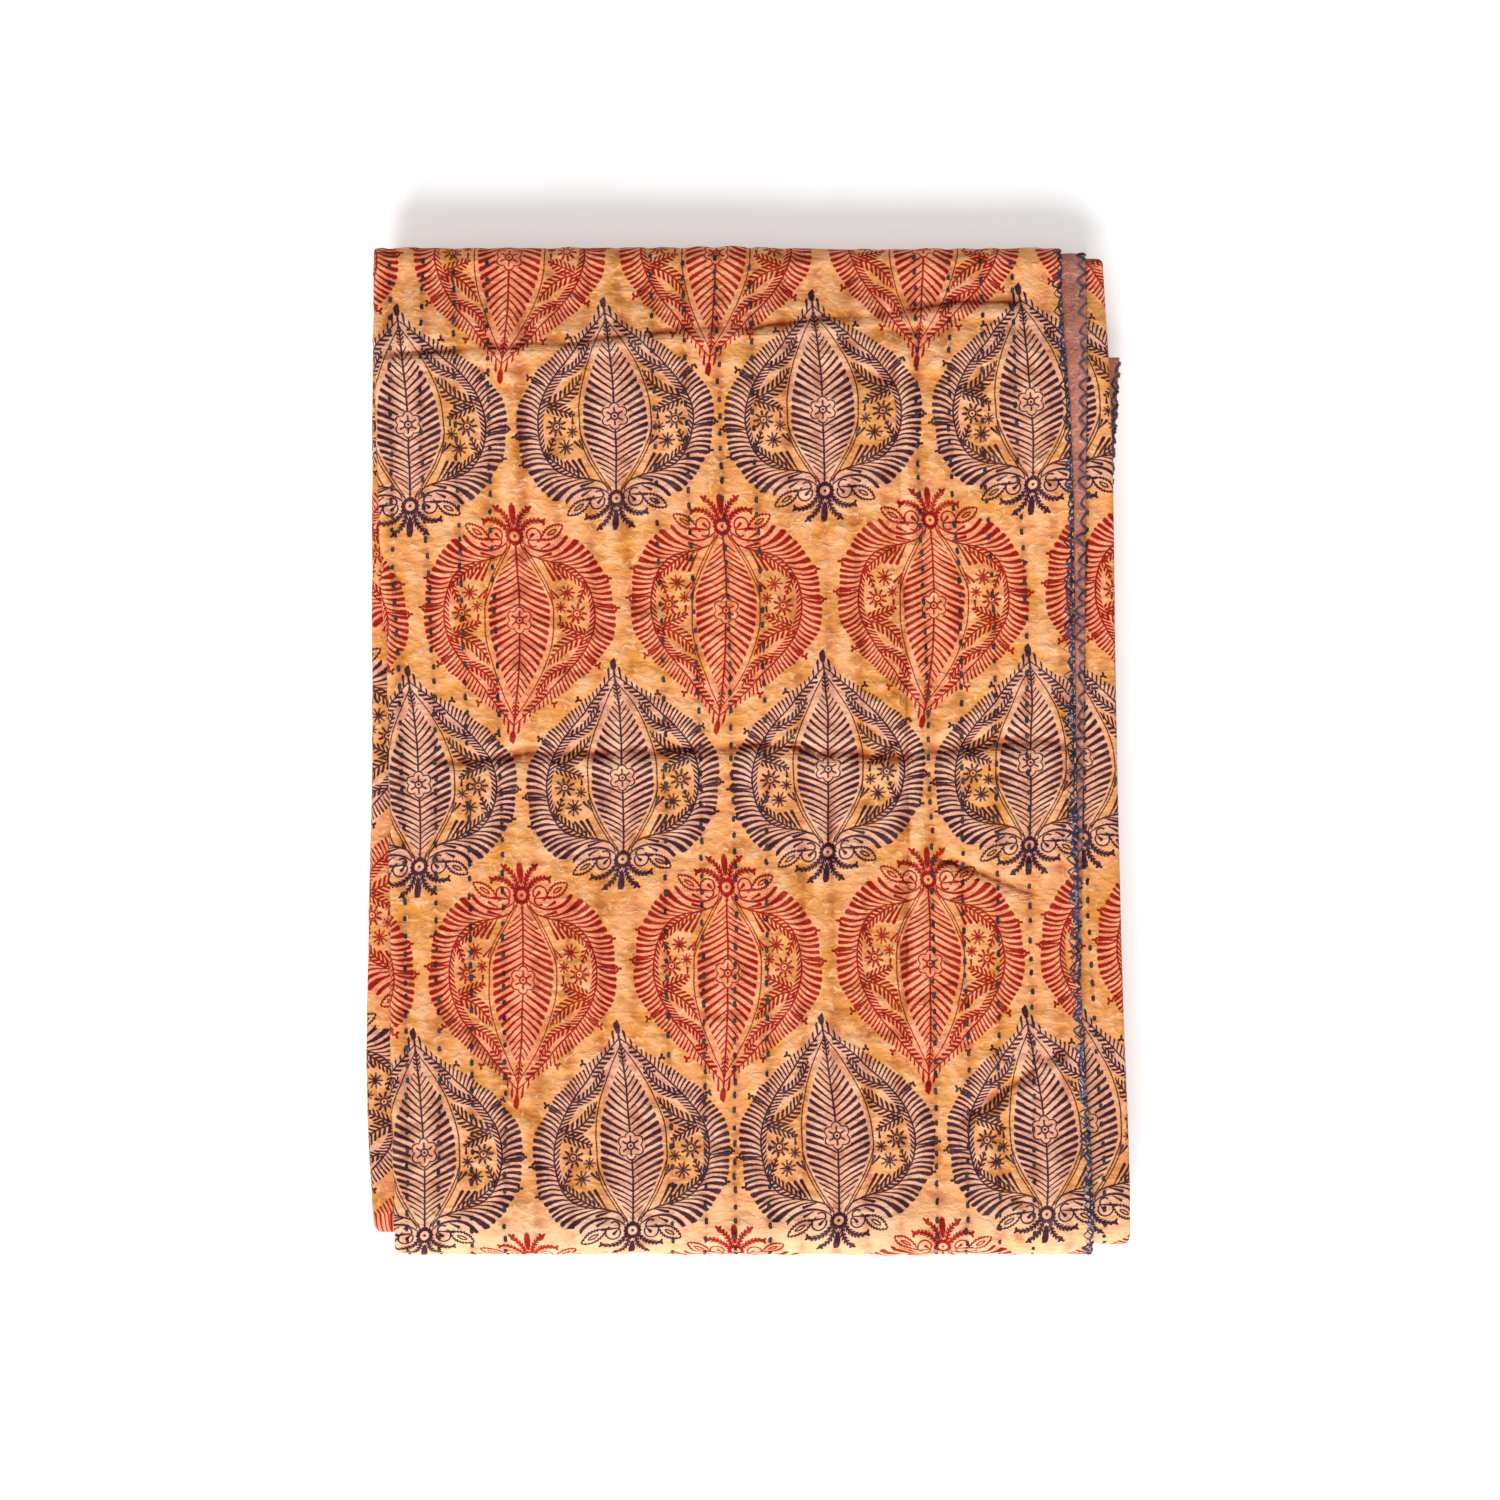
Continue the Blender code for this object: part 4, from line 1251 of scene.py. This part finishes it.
def painted_shade_and_highlight(paint, place, crest, hollow, soft, shade_tint, highlight_tint):
    """Paints shade into the hollows of the cloth and paints highlights on its crests."""
    _, _, raised = parts_of(place)
    # Painted shade where the cloth lies below the cloth around it and in the fine hollows
    shade_share = ramp(raised + (soft - 0.5) * 0.7, 0.02, -0.75, 0.0, 0.55) + ramp(raised, -0.7, -1.5, 0.0, 0.4)
    paint = blended(highest(shade_share, hollow * 0.14), paint, blended(1.0, paint, shade_tint, "MULTIPLY"))
    # Painted highlight where the cloth stands above the cloth around it and on the fine crests
    painted_highlight = ramp(raised + (soft - 0.5) * 0.8, 0.10, 0.75, 0.0, 0.38)
    return blended(highest(painted_highlight, crest * 0.5), paint, highlight_tint)


def printed_cotton():
    material, shader = new_material("printed_cotton", 0.85, 0.12)
    place = stored("flat_place")
    u, v, _ = parts_of(place)
    flat = vector_of(u, v)
    _, warp = texture(flat, 0.028, 1.0)
    rag, _ = texture(flat, 0.9, 2.0, 0.6)
    patch, tints = texture(flat, 0.045, 3.0, 0.6)
    cloud, _ = texture(flat, 0.016, 2.0, 0.5)
    slub, _ = texture(vector_of(u * 0.05, v * 0.5), 1.0, 2.0, 0.6)
    ink, lens, edge, red, tone = block_print(u, v, warp)
    crest, hollow, soft, height = creased(place)
    _, smudge, _ = parts_of(tints)
    beside, sharp, _ = parts_of(stored("beside_crease"))
    beside = size_of(beside + (rag - 0.5) * 1.6)
    # Painted shade along the middle of each sharp crease
    crease_shade = ramp(beside, 1.1, 0.2) * sharp * ramp(patch, 0.3, 0.6, 0.4, 1.0)
    height = height - ramp(beside, 2.2, 0.0) * sharp * 0.7

    # The dyed ground, paler where the blocks left a fill, with a painted highlight on the front fold, which
    # faces the key light
    ochre = blended(ramp(patch, 0.42, 0.60), colour(236, 163, 104), colour(222, 146, 70))
    ochre = blended(ramp(cloud, 0.45, 0.66, 0.0, 0.7), ochre, colour(238, 160, 106))
    ochre = blended(ramp(smudge, 0.53, 0.62, 0.0, 0.6), ochre, colour(206, 132, 58))
    fill = blended(red, colour(230, 166, 138), colour(240, 146, 106))
    fill_edge = lowest(lens + 3.0, highest(edge + 1.5, edge * -1.0 - 26.0)) + (patch - 0.5) * 14.0
    ground = blended(ramp(fill_edge, 3.0, -3.0) * (tone * 0.2 + 0.75), ochre, fill)
    # Painted highlight: the ground pales along the front fold, where it faces the key light
    front_fold_highlight = lowest(ramp(v, 486.0, 520.0), ramp(v, 600.0, 560.0)) * ramp(patch, 0.3, 0.7, 0.25, 0.7)
    ground = blended(front_fold_highlight, ground, colour(250, 208, 172))
    # Painted shade in the ground's hollows and painted highlight on its crests
    ground = painted_shade_and_highlight(ground, place, crest, hollow, soft, colour(176, 112, 84), colour(250, 206, 164))

    # The ink over it
    ink_colour = blended(red, colour(58, 24, 42), colour(148, 14, 12))
    faded = blended(red, colour(84, 44, 54), colour(172, 32, 20))
    ink_colour = blended(ramp(rag, 0.45, 0.8, 0.0, 0.5), ink_colour, faded)
    # Painted shade in the ink's hollows and painted highlight on its crests
    ink_colour = painted_shade_and_highlight(ink_colour, place, crest * 0.5, hollow, soft, colour(150, 120, 120),
                      blended(red, colour(100, 64, 74), colour(200, 62, 42)))
    cover = ramp(ink + (rag - 0.5) * 1.3, 0.45, -0.45) * ramp(patch, 0.85, 0.4, 0.94, 1.0)
    painted = blended(cover, ground, ink_colour)
    painted = blended(1.0, painted, ramp(slub, 0.2, 0.8, 0.86, 1.08), "MULTIPLY")
    # Painted shade along the sharp creases
    painted = blended(crease_shade, painted, blended(1.0, painted, colour(150, 98, 78), "MULTIPLY"))
    finished(shader, painted, height)
    return material


def plain_cotton():
    material, shader = new_material("plain_cotton", 0.85, 0.25)
    place = stored("flat_place")
    u, v, _ = parts_of(place)
    flat = vector_of(u, v)
    patch, _ = texture(flat, 0.05, 4.0, 0.6)
    grain, _ = texture(flat, 0.8, 2.0, 0.6)
    crest, hollow, soft, height = creased(place)
    base = blended(ramp(patch, 0.35, 0.68), colour(184, 120, 102), colour(158, 94, 84))
    base = blended(ramp(grain, 0.42, 0.7, 0.0, 0.55), base, colour(222, 150, 120))
    # Painted shade in the backing's hollows and painted highlight on its crests
    base = painted_shade_and_highlight(base, place, crest, hollow, soft, colour(140, 96, 100), colour(226, 168, 146))
    finished(shader, base, height)
    return material


def thread_material(name, dark, light, glints=0.0):
    """Cotton thread: its tone changes from stitch to stitch, with a fine twist and pale glints, which are
    painted highlights.
    """
    material, shader = new_material(name, 0.75, 0.3)
    place = object_place()
    tone, _ = texture(place, 90.0, 2.0, 0.6)
    fuzz, _ = texture(place, 2200.0, 2.0, 0.7)
    paint = blended(ramp(tone, 0.35, 0.65), dark, light)
    # Painted highlights: pale glints on the thread, stronger towards lower y
    if glints:
        painted_highlight, _ = texture(place, 420.0, 1.0, 0.5)
        _, y, _ = parts_of(place)
        glint = ramp(painted_highlight, 0.58, 0.66) * ramp(y, 0.11, 0.02, 0.1, glints)
        paint = blended(glint, paint, colour(170, 178, 198))
    finished(shader, paint, fuzz, THREAD_TWIST, 0.6)
    return material


def floor_material():
    material, shader = new_material("pale_floor", 0.9, 0.1)
    tone, _ = texture(object_place(), 3.0, 3.0, 0.5)
    feed(shader.inputs["Base Color"], blended(tone, (0.93, 0.93, 0.93, 1.0), (0.96, 0.96, 0.96, 1.0)))
    shader.inputs["Emission Color"].default_value = WHITE
    shader.inputs["Emission Strength"].default_value = 0.22
    return material


# --- The quilt ------------------------------------------------------------------------------------------


def studio():
    """A plain pale floor, a soft light low from the near side, fill from above, and the camera."""
    corners = np.array([(-1, -1, 0), (1, -1, 0), (1, 1, 0), (-1, 1, 0)]) * FLOOR_REACH
    floor = mesh_object("floor", corners, np.array([(0, 1, 2), (0, 2, 3)]))
    floor.data.materials.append(floor_material())
    sun = bpy.data.lights.new("key", "SUN")
    sun.energy = KEY_POWER
    sun.angle = np.radians(KEY_SOFTNESS)
    added("key", sun).rotation_euler = Vector(KEY_FROM).to_track_quat("Z", "Y").to_euler()
    fill = bpy.data.lights.new("overhead", "AREA")
    fill.shape = "RECTANGLE"
    fill.size = fill.size_y = FILL_SIZE
    fill.energy = FILL_POWER
    towards_quilt = Vector() - Vector(FILL_FROM)
    added("overhead", fill, FILL_FROM).rotation_euler = towards_quilt.to_track_quat("-Z", "Y").to_euler()
    scene = bpy.context.scene
    scene.world = bpy.data.worlds.new("studio")
    scene.world.use_nodes = True
    sky = scene.world.node_tree.nodes["Background"]
    sky.inputs["Color"].default_value = WHITE
    sky.inputs["Strength"].default_value = WORLD_LIGHT
    scene.view_settings.view_transform = "Standard"
    lens = bpy.data.cameras.new("camera")
    lens.lens = LENS_LENGTH
    lens.sensor_width = SENSOR_WIDTH
    lens.clip_start = 0.1
    scene.camera = added("camera", lens, (*CAMERA_AT, QUILT_TOP + FRAME_WIDTH * LENS_LENGTH / SENSOR_WIDTH))


def main():
    face, blocks = build_cloth("printed_cloth", FACE_STEPS, FACE_ACROSS, 1, FACE_SHEET)
    backing, back = build_cloth("backing_cloth", BACKING_STEPS, BACKING_ACROSS, -1, BACKING_SHEET)
    face.data.materials.append(printed_cotton())
    backing.data.materials.append(plain_cotton())
    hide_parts("printed_face_cloth")
    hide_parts("plain_backing_cloth")

    top, bottom = blocks["top"], blocks["bottom"]
    top_end, bottom_end = top["v"][-1, 0], bottom["v"][-4, 0]
    hem_u = float(np.median(top["u"][:, 3]))
    third_u = float(np.median(top["u"][:, np.flatnonzero(top["order"] == 4.0)]))
    thread = thread_material("stitch_thread", colour(34, 31, 36), colour(60, 58, 64))
    stitches = threads("running_stitches", thread, [
        stitch_lines(top, (-12.0, hem_u - 2.0), (-6.0, top_end - 6.0)),
        stitch_lines(bottom, (2.0, hem_u - 2.0), (top_end + 4.0, bottom_end - 3.0)),
        stitch_lines(top, (third_u - 30.0, third_u), (0.0, top_end - 30.0)),
    ], 0.5)

    thread = thread_material("hem_thread", colour(24, 26, 44), colour(54, 64, 96), 0.45)
    sewing = threads("hem_sewing", thread, [
        hem_lines(top, 0.0, (-16.0, top_end)),
        hem_lines(top, 0.0, (-16.0, top_end), "edge"),
        hem_lines(top, 0.0, (150.0, top_end), "tangle"),
        hem_lines(bottom, 0.0, (top_end + 1.0, bottom_end - 3.0)),
    ])
    first_v = back["first"]["v"][:, 0]
    free_hem = (first_v[3] - 6.0, first_v[-1] - 4.0)
    thread = thread_material("low_hem_thread", colour(52, 42, 54), colour(112, 92, 104))
    low_sewing = threads("low_hem_sewing", thread, [
        hem_lines(back["top"], 7.0, (-16.0, back["top"]["v"][-1, 0] - 4.0)),
        hem_lines(back["first"], 7.0, free_hem),
        hem_lines(back["first"], 7.0, free_hem, "edge"),
    ])

    for thing in (face, backing, stitches, sewing, low_sewing):
        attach(thing, "root")
    studio()


main()
